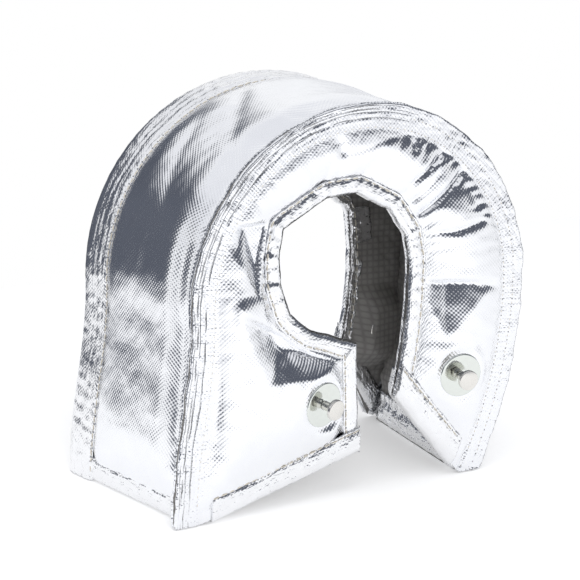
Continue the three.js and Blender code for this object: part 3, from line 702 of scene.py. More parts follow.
def panel_skin(panel, name, folds, columns, flange, seed, gather_depth, seats):
    share, width = spread_share(panel, columns)
    height = rise(panel, share, width)
    plain = panel_points(panel, share, height)
    x, z = plain[..., 0], plain[..., 2]
    inside = np.clip(np.minimum(share, 1 - share) * width / 5.0, 0, 1)
    facets = FRONT_FACETS if panel["side"] < 0 else ()
    height = np.maximum(height + (fold_height(x, z, folds) + facet_height(x, z, facets)) * inside, LOWEST_SKIN)
    design = panel_points(panel, share, height)

    coarse = plan(panel["side"], FRONT_OPENING if panel["side"] < 0 else REAR_OPENING, panel["margin"], 0.55)
    few = 30
    c_share, c_width = spread_share(coarse, few)
    c_rise = rise(coarse, c_share, c_width)
    c_plain = panel_points(coarse, c_share, c_rise)
    c_inside = np.clip(np.minimum(c_share, 1 - c_share) * c_width / 5.0, 0, 1)
    c_x, c_z = c_plain[..., 0], c_plain[..., 2]
    c_folds = fold_height(c_x, c_z, folds) + facet_height(c_x, c_z, facets)
    c_rise = np.maximum(c_rise + c_folds * c_inside, LOWEST_SKIN)
    start = panel_points(coarse, c_share, c_rise)
    pins = np.full(start.shape[:2], 0.035)
    pins[:, :2] = 1.0
    pins[:, -2:] = 1.0
    pins[:2] = 1.0
    pins[-2:] = 1.0
    moved = settled(start, pins, 20, 0.5, 0.05, 14.0, 0.35, 4.0, panel["side"])
    drawn_in = tight(design[..., 0], design[..., 2])
    share_of = 0.14 + 0.5 * drawn_in
    design = design + upsample(moved, *design.shape[:2]) * share_of[..., None]

    out = panel["side"] * np.array([0.0, 1.0, 0.0])
    lengths = panel["lengths"]
    rim_lengths = panel["rim_lengths"]
    arch = np.clip((design[..., 2] - 70.0) / 50.0, 0, 1)
    small = gathers(rim_lengths, (1 - share) * width, 7.3, 9.0, gather_depth, seed) * share_of * (0.4 + 0.6 * arch)
    small += gathers(lengths, share * width, 6.1, 4.5, gather_depth * 0.4, seed + 1) * (0.3 + 0.7 * drawn_in)
    small += noise2(design[..., 0], design[..., 2], 30.0, seed + 2) * 0.26 * inside
    design = design + out * (small * np.clip(inside + 0.25, 0, 1))[..., None]
    for seat, axis in seats:
        design = press_under(design, seat, axis)

    under = []
    for a in (1.2, 3.5, 6.0):
        flat = panel["edge"] + panel["inward"] * a
        under.append(lift(flat, panel["side"] * (INNER + HEM_RISE - 0.2)))
    parts = [np.stack(under, 1), design]
    near = [np.full((len(share), 3), 1.0), np.exp(-np.minimum(share, 1 - share) * width / 4.0)]
    beyond = []
    wave = noise2(rim_lengths, rim_lengths * 0, 30.0, seed + 5)
    for step in flange:
        flat = panel["rim"] + panel["rim_normal"] * step[:, None]
        crumple = noise2(rim_lengths, step * 3.0, 7.0, seed + 6) * 0.35
        left = 1 - np.clip((panel["rim"][:, 0] + 5.0) / 40.0, 0, 1)
        crumple += left * 0.45 * np.sin(step * 2.3 + 1.5 * noise2(rim_lengths, rim_lengths * 0, 50.0, seed + 7))
        drift = np.clip(step / FLANGE, 0, 1) * wave * 0.9
        beyond.append(lift(flat, panel["side"] * (INNER + PAD) + drift + crumple * np.clip(step / 3, 0, 1)))
    if beyond:
        parts.append(np.stack(beyond, 1))
        near.append(np.full((len(share), len(beyond)), 1.0))
    grid = np.concatenate(parts, 1)
    grid[..., 2] = np.maximum(grid[..., 2], 1.4 if not beyond else 0.4)
    uv = np.stack([grid[..., 0], grid[..., 2]], 2)
    obj = mesh_object(name, grid, FOIL, uv, flip=panel["side"] > 0)
    attribute(obj, "crumple", np.concatenate(near, 1))
    between = lengths[:, None] * (1 - share) + rim_lengths[:, None] * share
    first = np.repeat(lengths[:, None], 3, 1)
    last = np.repeat(rim_lengths[:, None], len(beyond), 1)
    out_by = [-panel["margin"] - (1 - share) * width] + ([np.stack(flange, 1)] if beyond else [])
    out_by = np.concatenate([first * 0 - 90.0, *out_by], 1)
    right = np.clip((panel["rim"][:, :1] - 20.0) / 10.0, 0, 1)
    sewn = (0.15 + 0.85 * right) * (panel["side"] < 0)
    # On the left the flange's ply edges show. The foil material bumps them in and darkens them with painted shade.
    left = 1 - np.clip((panel["rim"][:, :1] + 5.0) / 40.0, 0, 1)
    plies = left * np.clip((out_by + 2.0) / 1.5, 0, 1) * (panel["side"] < 0)
    seam_places(obj, np.concatenate([first, between, last], 1), out_by, np.broadcast_to(sewn, out_by.shape), plies)
    panel["skin"] = design
    panel["width"] = width[:, 0]
    return thicken(obj, 0.5)


def flange_steps(count, low, high, lengths, seed):
    """Distances past the outline of the flange's columns; the last one wavers a little."""
    waver = noise2(lengths, lengths * 0, 22.0, seed) * 0.45 + noise2(lengths, lengths * 0, 6.0, seed + 1) * 0.2
    return [low + (high - low) * k / (count - 1) + waver * (k / (count - 1)) ** 2 for k in range(count)]


def strip_section(width, rise_at, thick, inner_width, proud=OUTER_BINDING):
    """Points (distance into the cloth, height) round a folded strip: outer face, nose and inner face."""
    top, bottom = rise_at + proud, rise_at - thick - proud
    outer = [(a, top) for a in np.linspace(width, 1.6, 12)]
    turn = np.linspace(0, math.pi, 11)[1:-1]
    middle, half = (top + bottom) / 2, (top - bottom) / 2
    nose = [(1.6 - (1.6 + proud) * math.sin(t), middle + half * math.cos(t)) for t in turn]
    inner = [(a, bottom) for a in np.linspace(1.6, inner_width, 8)]
    return np.array(outer + nose + inner)


def strip(name, base, inward, normal_out, section, lengths, seed, corners=(), stitch_at=1.4, pitch=5.0, deepen=None, reach=None):
    """A folded strip along a rail; base and inward are 3-D, and heights run along normal_out."""
    distance, height = section[:, 0], section[:, 1].copy()
    width = distance[0]
    count = len(section)
    outer = np.arange(count) < 12
    inner = np.arange(count) >= 21
    dip = np.exp(-(((distance - (width - stitch_at)) / 0.9) ** 2))
    pucker = 0.5 + 0.5 * np.cos(lengths * 2 * math.pi / pitch)
    lay = np.zeros((len(lengths), count))
    lay -= outer * (0.55 + 0.45 * pucker[:, None]) * dip * 0.7
    lay += outer * np.sin(np.clip(distance / width, 0, 1) * math.pi) * 0.45
    face = noise2(lengths[:, None], distance[None, :] * 1.0 + 0 * lengths[:, None], 9.0, seed) * 0.32
    fine = noise2(lengths[:, None], distance[None, :] + 0 * lengths[:, None], 3.4, seed + 1) * 0.13
    lay += outer * (face + fine) - inner * (face * 0.8 + fine)
    for corner in corners:
        ridge = np.exp(-(((lengths - corner) / 1.1) ** 2)) - 0.7 * np.exp(-(((lengths - corner - 2.4) / 1.3) ** 2))
        lay += outer * 0.35 * ridge[:, None]
    edge_wave = noise2(lengths, lengths * 0, 14.0, seed + 2) * 0.25
    middle = height[(len(section) // 2)]
    d = distance[None, :] + edge_wave[:, None] * (distance[None, :] < 2.0)
    if reach is not None:
        d = np.where(inner[None, :], 1.6 + (d - 1.6) * reach[:, None], d)
    h = height[None, :] + lay + (deepen if deepen is not None else 0.0)
    h[0] = h[-1] = middle
    grid = base[:, None] + inward[:, None] * d[..., None] + normal_out[:, None] * h[..., None]
    around = np.concatenate([[0], np.cumsum(np.linalg.norm(np.diff(section, axis=0), axis=1))])
    uv = np.stack(np.broadcast_arrays(lengths[:, None], around[None, :]), 2)
    return grid, uv, np.minimum(around, around[-1] - around)


def strip_places(obj, uv, from_edge):
    attribute(obj, "crumple", np.full(uv.shape[:2], 1.0))
    seam_places(obj, uv[..., 0], np.broadcast_to(from_edge, uv.shape[:2]))


def raw_edge(panel):
    """How wide the strip is on the inner side, as a share of the usual: on the right it was cut roughly."""
    x, z = panel["edge"].T
    ragged = 0.62 + 0.3 * noise2(panel["lengths"], panel["lengths"] * 0, 9.0, 311)
    tab = np.clip(np.minimum(z - 116.0, 137.0 - z) / 1.5, 0, 1) * (x > 30.0)
    notch = np.clip(np.minimum(z - 110.0, 117.0 - z) / 1.5, 0, 1) * (x > 30.0)
    return ragged * (1 - tab) * (1 - 0.7 * notch) + 1.75 * tab


def opening_strip(panel, name, spec, seed):
    side = panel["side"]
    out = np.broadcast_to(np.array([0.0, side, 0.0]), (len(panel["edge"]), 3))
    base = lift(panel["edge"], side * INNER)
    inward = lift(panel["inward"], 0.0)
    center = np.array(spec[0])
    flat = panel["edge"] - center
    angle = np.degrees(np.unwrap(np.arctan2(flat[:, 1], flat[:, 0])))
    corners = []
    for degrees, _ in spec[1]:
        gap = np.abs((angle - degrees + 180) % 360 - 180) + 90.0 * (panel["runs"] == 0) + 90.0 * (panel["runs"] == 3)
        corners.append(panel["lengths"][int(np.argmin(gap))])
    section = strip_section(HEM_WIDTH, HEM_RISE, HEM_THICK, HEM_WIDTH - 0.5)
    raw = raw_edge(panel) if side > 0 else np.ones(len(base))
    past = section[None, :, 0] * raw[:, None]
    crumpled = noise2(panel["lengths"][:, None], past, 7.0, seed + 7) * 0.9 + noise2(panel["lengths"][:, None], past, 3.5, seed + 8) * 0.45
    inside = np.clip((past - 3.0) / 3.0, 0, 1) * (np.arange(len(section)) >= 21) * (side > 0)
    deepen = -(np.abs(crumpled) + 0.5 + 0.8 * np.clip((past - 6.0) / 4.0, 0, 1)) * inside
    grid, uv, from_edge = strip(name, base, inward, out, section, panel["lengths"], seed, corners, deepen=deepen, reach=raw)
    obj = mesh_object(name, grid, STRIP, uv, flip=side > 0)
    strip_places(obj, uv, from_edge)
    panel["strip_top"] = HEM_RISE + OUTER_BINDING
    return thicken(obj, 0.6)


def foot_strip(panel, name, end, seed, width=12.5, steps=90):
    """The strip round the lower edge of a leg, over the opening's strip."""
    side = panel["side"]
    corner, foot = panel["edge"][end], panel["rim"][end]
    way = foot - corner
    length = np.linalg.norm(way)
    way = way / length
    up = np.array([-way[1], way[0]])
    up = up if up[1] > 0 else -up
    t = np.linspace(-OUTER_BINDING - 0.3, length - REAR_STRIP - 1.5, steps)
    share = np.clip(t / length, 0, 1)
    flat = corner + way * t[:, None]
    leg_up = panel["edge"][1 if end == 0 else end - 1] - panel["edge"][end]
    leg_up /= np.linalg.norm(leg_up)
    rim_up = panel["rim"][1 if end == 0 else end - 1] - panel["rim"][end]
    rim_up /= np.linalg.norm(rim_up)
    lean = leg_up * (1 - share[:, None]) + rim_up * share[:, None]
    lean /= (lean @ up)[:, None]
    level = HEM_RISE + (PAD - HEM_RISE) * share
    base = lift(flat, side * INNER) + np.array([0.0, side, 0.0]) * level[:, None]
    section = strip_section(width, 0.0, HEM_THICK, width - 2.5, proud=OUTER_BINDING * 2 + 0.2)
    out = np.broadcast_to(np.array([0.0, side, 0.0]), (steps, 3))
    grid, uv, from_edge = strip(name, base, lift(lean, 0.0), out, section, t, seed, (length * 0.36,))
    grid[..., 2] = np.maximum(grid[..., 2], 0.7)
    obj = mesh_object(name, grid, STRIP, uv, flip=(side > 0) != (end == 0))
    strip_places(obj, uv, from_edge)
    line = grid[:, 1] * 0.5 + grid[:, 2] * 0.5
    return thicken(obj, 0.6), (line, t)


# The band's layers

FLANGE_REAR = 54.6
BAND_STRIP = 22.0  # how far the rear seam's strip reaches over the band
STRIP_COLUMNS = 26  # of the strip's part on the band


def band_rise(y, lengths):
    from_front, from_rear = y + FLANGE_REAR - 1, 56.0 - BAND_STRIP - y
    from_foot = np.minimum(lengths, lengths[-1] - lengths) - 12.0
    drop = soft_max(missing(from_front, 30.0), missing(from_rear, 26.0), missing(from_foot[:, None], 30.0))
    ridge = 1.3 * np.exp(-(((y + 27.0) / 11.0) ** 2)) * (1 - missing(from_foot[:, None], 30.0))
    return BAND_PUFF * (1 - np.minimum(drop, 1)) + ridge


def band_points(depths, offset, runs, shares):
    """Points of the band at depths (a row for each station), moved out from the outline."""
    rows = []
    for k, y in enumerate(depths):
        rail = outline_at(y, runs, shares)
        moved = rail + normals_of(rail) * offset[:, k][:, None]
        rows.append(np.stack([moved[:, 0], np.full(len(rail), y), moved[:, 1]], 1))
    return np.stack(rows, 1)


BAND_FOLDS = (  # two ends (length along the rail, depth), half width, depth, lean
    ((196, -34), (250, 30), 8.0, 1.1, 0.5),
    ((168, -8), (216, 12), 6.0, 0.7, -0.5),
    ((60, -38), (150, -34), 5.0, 0.8, 0.4),
    ((40, -44), (110, -42), 3.5, 0.7, -0.4),
    ((330, -40), (352, -14), 5.0, 1.1, 0.3),
    ((382, -42), (392, -16), 4.0, 1.2, 0.4),
    ((420, -42), (414, -12), 4.5, 1.2, -0.4),
    ((470, -40), (470, 0), 6.0, 1.0, 0.4),
)


def band_skin():
    runs, shares = stations()
    middle = along(outline_at(0.0, runs, shares))
    depths = np.linspace(-53.2, 46.0, 74)
    rise_here = band_rise(depths[None, :], middle)
    rise_here = rise_here + fold_height(middle[:, None] + 0 * depths, depths[None, :] + 0 * middle[:, None], BAND_FOLDS)
    design = band_points(depths, rise_here, runs, shares)

    few_runs, few_shares = stations(0.5)
    few_middle = along(outline_at(0.0, few_runs, few_shares))
    few = np.linspace(-53.2, 46.0, 34)
    few_rise = band_rise(few[None, :], few_middle)
    few_rise = few_rise + fold_height(few_middle[:, None] + 0 * few, few[None, :] + 0 * few_middle[:, None], BAND_FOLDS)
    start = band_points(few, few_rise, few_runs, few_shares)
    pins = np.full(start.shape[:2], 0.04)
    pins[:, :2] = 1.0
    pins[:, -2:] = 1.0
    pins[:, few > 35.0] = 1.0
    pins[:3] = 1.0
    pins[-3:] = 1.0
    moved = settled(start, pins, 20, 0.4, 0.03, 14.0, 0.5, 3.0, -1)
    design = design + upsample(moved, *design.shape[:2]) * 0.6

    normal = grid_normals(design)
    if normal[len(normal) // 2, 40, 2] < 0:
        normal = -normal
    from_front, from_rear = depths + 53.2, 46.0 - depths
    arch = np.clip((design[..., 2] - 90.0) / 60.0, 0, 1)
    small = gathers(middle, np.broadcast_to(from_front, design.shape[:2]), 6.7, 8.0, 0.5, 31) * (0.35 + 0.65 * arch)
    small += gathers(middle, np.broadcast_to(from_rear, design.shape[:2]), 8.3, 6.0, 0.3, 32)
    small += noise2(middle[:, None], depths[None, :], 34.0, 33) * 0.3 * np.clip(np.minimum(from_front, from_rear) / 8, 0, 1)
    design = design + normal * small[..., None]

    rail = outline_at(-FLANGE_REAR, runs, shares)
    out = normals_of(rail)
    rim_lengths = along(rail)
    wave = noise2(rim_lengths, rim_lengths * 0, 30.0, 45)
    beyond = []
    for step in flange_steps(7, 0.6, FLANGE, rim_lengths, 61)[::-1]:
        flat = rail + out * step[:, None]
        drift = np.clip(step / FLANGE, 0, 1) * wave * 0.9
        crumple = noise2(rim_lengths, step * 3.0, 8.0, 62) * 0.3 * np.clip(step / 3, 0, 1)
        beyond.append(lift(flat, -FLANGE_REAR + 0.7 + drift + crumple))
    rear = band_points(np.array([49.0, 54.0]), np.zeros((len(runs), 2)), runs, shares)
    grid = np.concatenate([np.stack(beyond, 1), design, rear], 1)
    grid[..., 2] = np.maximum(grid[..., 2], 0.6)
    v = np.concatenate([-53.2 - np.linspace(FLANGE, 0.6, 7), depths, [49.0, 54.0]])
    uv = np.stack(np.broadcast_arrays(middle[:, None], v[None, :]), 2)
    crumple = np.exp(-np.minimum(np.abs(v + 54.0), np.abs(46.0 - v)) / 4.0)
    crumple[:7] = 1.0
    obj = mesh_object("band_skin", grid, FOIL, uv, flip=True)
    attribute(obj, "crumple", np.broadcast_to(crumple, grid.shape[:2]))
    seam_places(obj, uv[..., 0], np.broadcast_to(-60.0 - v, grid.shape[:2]), 0.0)
    return thicken(obj, 0.5)


def band_sink_at(from_end):
    return HEM_THICK + (PAD - HEM_THICK) * (1 - missing(from_end - 12.0, 26.0))


def band_sink(lengths):
    return band_sink_at(np.minimum(lengths, lengths[-1] - lengths))


def band_liner():
    runs, shares = stations(0.8)
    middle = along(outline_at(0.0, runs, shares))
    depths = np.linspace(-44.4, 44.4, 56)
    deep = -band_sink(middle)[:, None] + 0 * depths
    design = band_points(depths, deep, runs, shares)
    few_runs, few_shares = stations(0.45)
    few_middle = along(outline_at(0.0, few_runs, few_shares))
    few = np.linspace(-44.4, 44.4, 28)
    start = band_points(few, -band_sink(few_middle)[:, None] + 0 * few, few_runs, few_shares)
    pins = np.full(start.shape[:2], 0.05)
    pins[:, :1] = 1.0
    pins[:, -1:] = 1.0
    pins[:2] = 1.0
    pins[-2:] = 1.0
    moved = settled(start, pins, 16, 0.3, 0.09, 12.0, 0.3, 3.5, 1)
    from_end = np.minimum(middle, middle[-1] - middle)
    design = design + upsample(moved, *design.shape[:2]) * np.clip((from_end - 12.0) / 20.0, 0, 1)[:, None, None]
    normal = grid_normals(design)
    if normal[len(normal) // 2, 28, 2] > 0:
        normal = -normal
    edge = np.minimum(depths + 44.4, 44.4 - depths)
    small = noise2(middle[:, None], depths[None, :], 17.0, 71) * 1.1 + noise2(middle[:, None], depths[None, :] * 0.6, 6.5, 72) * 0.4
    small = np.abs(small) * 1.3 - 0.4
    right = np.clip((runs[:, None] - 2) + 0.0 * depths, 0.35, 1)
    small *= np.clip(edge / 5.0, 0.15, 1) * right * np.clip((from_end - 10.0) / 15.0, 0, 1)[:, None]
    design = design + normal * small[..., None]
    uv = np.stack(np.broadcast_arrays(middle[:, None], depths[None, :]), 2)
    obj = mesh_object("band_lining", design, LINER, uv)
    return thicken(obj, 0.5, 1.0)


def over_disc(grid, seat, axis, inner_end, radius=13.0, fade=16.0):
    """Moves the liner to the inner side of an anchor's base disc, which it hides."""
    offset = grid - seat
    height = offset @ axis
    across = np.linalg.norm(offset - height[..., None] * axis, axis=-1)
    t = np.clip((across - radius) / fade, 0, 1)
    weight = 1 - t * t * (3 - 2 * t)
    wanted = np.minimum(height, inner_end - 1.7)
    return grid + axis * ((wanted - height) * weight * (np.abs(height) < 40))[..., None]


def panel_liner(panel, name, seed, discs):
    columns = 34
    share, width = spread_share(panel, columns)
    height = sink(panel, share, width)
    design = panel_points(panel, share, height)
    x, z = design[..., 0], design[..., 2]
    small = noise2(x, z, 30.0, seed) * 0.9 + noise2(x, z, 10.0, seed + 1) * 0.22
    edge = np.clip(share * width / 6.0, 0, 1) * np.clip(panel["from_foot"][:, None] / 10.0, 0, 1)
    design[..., 1] += panel["side"] * np.maximum(small, -0.6) * edge
    for seat, axis, inner_end in discs:
        design = over_disc(design, seat, axis, inner_end)
    under = [lift(panel["edge"] + panel["inward"] * a, panel["side"] * (INNER + HEM_RISE - HEM_THICK + 0.3)) for a in (1.4, 5.0)]
    grid = np.concatenate([np.stack(under, 1), design], 1)
    grid[..., 2] = np.maximum(grid[..., 2], 1.4)
    uv = np.stack([grid[..., 0], grid[..., 2]], 2)
    obj = mesh_object(name, grid, LINER, uv, flip=panel["side"] < 0)
    return thicken(obj, 0.5)


def loft(name, sections, material):
    """A closed solid through rings of points, with its two ends filled."""
    rows, columns = sections.shape[:2]
    points = sections.reshape(-1, 3).tolist()
    faces = []
    for i in range(rows - 1):
        for j in range(columns):
            k = (j + 1) % columns
            faces.append((i * columns + j, i * columns + k, (i + 1) * columns + k, (i + 1) * columns + j))
    for row, turn in ((0, False), (rows - 1, True)):
        ring = [row * columns + j for j in range(columns)]
        faces.append(tuple(ring if turn else reversed(ring)))
    mesh = bpy.data.meshes.new(name)
    mesh.from_pydata(((np.array(points) + SHIFT) * MM).tolist(), [], faces)
    import bmesh

    made = bmesh.new()
    made.from_mesh(mesh)
    bmesh.ops.triangulate(made, faces=[f for f in made.faces if len(f.verts) > 4])
    bmesh.ops.recalc_face_normals(made, faces=made.faces)
    made.to_mesh(mesh)
    made.free()
    return place(name, mesh, material)


def panel_mat(spec, side, margin, name, folds):
    coarse = plan(side, spec, margin, 0.25)
    share, width = spread_share(coarse, 9)
    share = 0.06 + share * 0.88
    top = np.minimum(rise(coarse, share, width) - 2.6, PAD + PANEL_PUFF - 4.2)
    flat = panel_points(coarse, share, top)
    top = top + np.minimum(fold_height(flat[..., 0], flat[..., 2], folds, 1.5), 0)
    top = top + (1.5 * facet_height(flat[..., 0], flat[..., 2], FRONT_FACETS) if side < 0 else 0)
    bottom = sink(coarse, share, width) + 1.6
    top = np.maximum(np.minimum(top, rise(coarse, share, width) - 2.6), bottom + 0.5)
    grid_top = panel_points(coarse, share, top)
    grid_bottom = panel_points(coarse, share, bottom)
    ring = np.concatenate([grid_top, grid_bottom[:, ::-1]], 1)[3:-3]
    return loft(name, ring, FELT)


def band_mat():
    runs, shares = stations(0.25)
    middle = along(outline_at(0.0, runs, shares))
    depths = np.linspace(-42.5, 42.5, 14)
    top = np.minimum(band_rise(depths[None, :], middle) - 2.8, BAND_PUFF - 4.0)
    bottom = (1.8 - band_sink(middle))[:, None] + 0 * depths
    bottom = np.minimum(bottom, top - 0.8)
    outer = band_points(depths, top, runs, shares)
    inner = band_points(depths, bottom, runs, shares)
    ring = np.concatenate([outer, inner[:, ::-1]], 1)[3:-3]
    return loft("band_padding", ring, FELT)


def seam_core():
    runs, shares = stations()
    rail = outline_at(-FLANGE_REAR, runs, shares)
    out = normals_of(rail)
    lengths = along(rail)
    wave = noise2(lengths, lengths * 0, 30.0, 45)
    columns = []
    for step in flange_steps(5, 0.4, FLANGE - 0.9, lengths, 61):
        flat = rail + out * step[:, None]
        drift = np.clip(step / FLANGE, 0, 1) * wave * 0.9
        columns.append(lift(flat, -FLANGE_REAR - 0.75 + drift))
    grid = np.stack(columns, 1)
    grid[..., 2] = np.maximum(grid[..., 2], 0.4)
    uv = np.stack([grid[..., 0], grid[..., 2]], 2)
    return thicken(mesh_object("seam_core", grid, LINER, uv), 0.7, 0.0)


def rear_strip():
    """The strip folded over the corner of the band and the rear panel, with long folds along it."""
    runs, shares = stations()
    lengths = along(outline_at(SEAM_DEPTH / 2, runs, shares))
    section = [(y, OUTER_BINDING) for y in np.linspace(56.0 - BAND_STRIP, 56.0, STRIP_COLUMNS)]
    section += [(56.4 + 1.9 * math.sin(t), -0.6 + 1.9 * math.cos(t)) for t in np.linspace(0.35, 1.25, 4)]
    section += [(58.3, o) for o in np.linspace(-0.9, -REAR_STRIP, 10)]
    section = np.array(section)
    count = len(section)
    around = np.concatenate([[0], np.cumsum(np.linalg.norm(np.diff(section, axis=0), axis=1))])
    long_folds = np.zeros((len(lengths), count))
    for place_at, half, depth in ((5.0, 0.9, -0.6), (9.5, 1.1, -0.7), (14.0, 1.0, -0.6), (27.5, 1.1, -0.4)):
        drift = place_at + 1.1 * noise2(lengths, lengths * 0, 60.0, int(place_at * 10))
        power = 0.65 + 0.5 * noise2(lengths, lengths * 0, 25.0, int(place_at * 10) + 1)
        long_folds += depth * power[:, None] * np.exp(-(((around[None, :] - drift[:, None]) / half) ** 2))
    crown = np.clip(np.minimum(around, BAND_STRIP + 0.5 - around) / 7.0, 0, 1)
    long_folds += 1.5 * crown * (2 - crown) * (0.85 + 0.25 * noise2(lengths, lengths * 0, 40.0, 83))[:, None]
    long_folds += noise2(lengths[:, None], around[None, :] * 1.0, 7.0, 81) * 0.22
    stitch = np.exp(-(((around - 1.3) / 0.8) ** 2)) + np.exp(-(((around - around[-1] + 1.3) / 0.8) ** 2))
    long_folds -= 0.5 * stitch * (0.6 + 0.4 * np.cos(lengths * 2 * math.pi / 5.0))[:, None]
    grid = np.empty((len(lengths), count, 3))
    for k, (y, offset) in enumerate(section):
        rail = outline_at(min(y, SEAM_DEPTH / 2), runs, shares)
        out = normals_of(rail)
        on_band = k < STRIP_COLUMNS
        lay = long_folds[:, k] + 0.25
        shift = lay if on_band else np.zeros(len(lengths))
        flat = rail + out * (offset + shift)[:, None]
        depth = np.full(len(lengths), y) + (0 if on_band else lay - 0.25)
        grid[:, k] = np.stack([flat[:, 0], depth, flat[:, 1]], 1)
    grid[..., 2] = np.maximum(grid[..., 2], 0.3)
    uv = np.stack(np.broadcast_arrays(lengths[:, None], around[None, :]), 2)
    obj = mesh_object("rear_seam_strip", grid, STRIP, uv, flip=True)
    strip_places(obj, uv, np.minimum(around, around[-1] - around))
    return thicken(obj, 0.6), grid


def band_foot_strip(name, end, seed, width=13.0, inner_width=10.0):
    """The strip folded under the band's foot, from the front seam to the rear strip."""
    depths = np.linspace(-52.5, 43.0, 100)
    runs, shares = stations()
    bases, ups, outs = [], [], []
    next_one = 12 if end == 0 else -13
    for y in depths:
        rail = outline_at(y, runs, shares)
        up = rail[next_one] - rail[end]
        up /= np.linalg.norm(up)
        out = np.array([-up[1], up[0]]) * (1 if end == 0 else -1)
        bases.append((rail[end][0], y, rail[end][1]))
        ups.append((up[0], 0, up[1]))
        outs.append((out[0], 0, out[1]))
    section = strip_section(width, 0.0, HEM_THICK, inner_width)
    up_the_liner = np.where(np.arange(len(section)) >= 21, HEM_THICK - band_sink_at(section[:, 0] + 1.5), 0.0)
    crumpled = noise2(depths[:, None], section[None, :, 0], 11.0, seed + 7) * 1.5 + noise2(depths[:, None], section[None, :, 0], 5.0, seed + 8) * 0.5
    inside = np.clip((section[:, 0] - 2.0) / 4.0, 0, 1) * (np.arange(len(section)) >= 21)
    deepen = up_the_liner - (np.abs(crumpled) + 0.8) * inside * (inner_width > 12)
    base = np.array(bases) + np.array(ups) * 1.5
    grid, uv, from_edge = strip(name, base, np.array(ups), np.array(outs), section, depths + 60.0, seed, (48.0,), deepen=deepen)
    grid[..., 2] = np.maximum(grid[..., 2], 0.7)
    obj = mesh_object(name, grid, STRIP, uv, flip=end != 0)
    strip_places(obj, uv, from_edge)
    return thicken(obj, 0.6), grid, np.array(outs)


# Stitches


def stitches(name, lines, pitch=STITCH, long=3.8, thick=0.36):
    """Short threads laid end to end along lines, from hole to hole.

    Each line is its points, the way that they face and where the holes' count starts along it."""
    turns = np.linspace(0, 2 * math.pi, 7)[:-1]
    profile = np.array([(-0.5, 0.25), (-0.42, 0.85), (0.0, 1.0), (0.42, 0.85), (0.5, 0.25)])
    points, faces = [], []
    draw = np.random.default_rng(5)
    for line, facing, lengths in lines:
        first_hole = math.ceil(lengths[0] / pitch)
        stops = np.arange(first_hole + 0.5, lengths[-1] / pitch - 0.5) * pitch
        for stop in stops:
            at = np.array([np.interp(stop, lengths, line[:, k]) for k in range(3)])
            ahead = np.array([np.interp(stop + 1.2, lengths, line[:, k]) for k in range(3)])
            back = np.array([np.interp(stop - 1.2, lengths, line[:, k]) for k in range(3)])
            up = np.array([np.interp(stop, lengths, facing[:, k]) for k in range(3)])
            way = ahead - back
            way /= max(np.linalg.norm(way), 1e-9)
            up = up - way * (up @ way)
            up /= max(np.linalg.norm(up), 1e-9)
            over = np.cross(way, up)
            first = len(points)
            size = long * draw.uniform(0.92, 1.08)
            for t, r in profile:
                arch = 0.32 * (1 - (2 * t) ** 2)
                for turn in turns:
                    spot = at + way * t * size + (over * math.cos(turn) + up * math.sin(turn)) * thick * r + up * (arch - 0.02)
                    points.append(spot)
            sides = len(turns)
            for a in range(len(profile) - 1):
                for b in range(sides):
                    c = (b + 1) % sides
                    faces.append((first + a * sides + b, first + a * sides + c, first + (a + 1) * sides + c, first + (a + 1) * sides + b))
            faces.append(tuple(first + b for b in reversed(range(sides))))
            last = first + (len(profile) - 1) * sides
            faces.append(tuple(last + b for b in range(sides)))
    mesh = bpy.data.meshes.new(name)
    mesh.from_pydata(((np.array(points) + SHIFT) * MM).tolist(), [], faces)
    return place(name, mesh, THREAD)


# Lacing anchors


def disc_frame(name):
    """A turned node's middle, its axis away from the blanket and its reach along the axis, in millimetres."""
    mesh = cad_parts[name].data
    co = np.empty(len(mesh.vertices) * 3, np.float32)
    mesh.vertices.foreach_get("co", co)
    co = co.reshape(-1, 3).astype(float) / MM - SHIFT
    middle = (co.min(0) + co.max(0)) / 2
    middle = co.mean(0)
    axis = np.linalg.svd(co - middle, full_matrices=False)[2][-1]
    axis = axis * np.sign(axis[1] * middle[1])
    reach = (co - middle) @ axis
    return middle, axis, reach.min(), reach.max()


def lathe(name, origin, axis, profile, material, steps=72):
    """A turned piece: profile holds (radius, height along the axis), from the middle out and back."""
    axis = np.array(axis)
    side = np.cross(axis, [0.0, 0.0, 1.0])
    side /= np.linalg.norm(side)
    other = np.cross(axis, side)
    turns = np.linspace(0, 2 * math.pi, steps + 1)[:-1]
    rows = []
    for radius, height in profile:
        ring = origin + axis * height + radius * (np.cos(turns)[:, None] * side + np.sin(turns)[:, None] * other)
        rows.append(ring)
    grid = np.stack(rows, 0)
    radii = np.array([r for r, _ in profile])
    uv = np.stack(np.broadcast_arrays(radii[:, None] + 0 * turns, turns[None, :] * 6.0), 2)
    obj = mesh_object(name, grid, material, uv, wrap=True)
    import bmesh

    made = bmesh.new()
    made.from_mesh(obj.data)
    bmesh.ops.remove_doubles(made, verts=made.verts, dist=1e-7)
    bmesh.ops.recalc_face_normals(made, faces=made.faces)
    made.to_mesh(obj.data)
    made.free()
    mod = obj.modifiers.new("edges", "EDGE_SPLIT")
    mod.split_angle = math.radians(50)
    return obj


def rounded(corners, radius, steps=3):
    """Rounds the corners of an open profile of (radius, height) points."""
    out = [corners[0]]
    for before, at, after in zip(corners, corners[1:], corners[2:]):
        before, at, after = (np.array(p, float) for p in (before, at, after))
        a = at + (before - at) / np.linalg.norm(before - at) * radius
        b = at + (after - at) / np.linalg.norm(after - at) * radius
        for k in range(steps + 1):
            t = k / steps
            out.append(tuple((1 - t) ** 2 * a + 2 * t * (1 - t) * at + t**2 * b))
    return out + [corners[-1]]


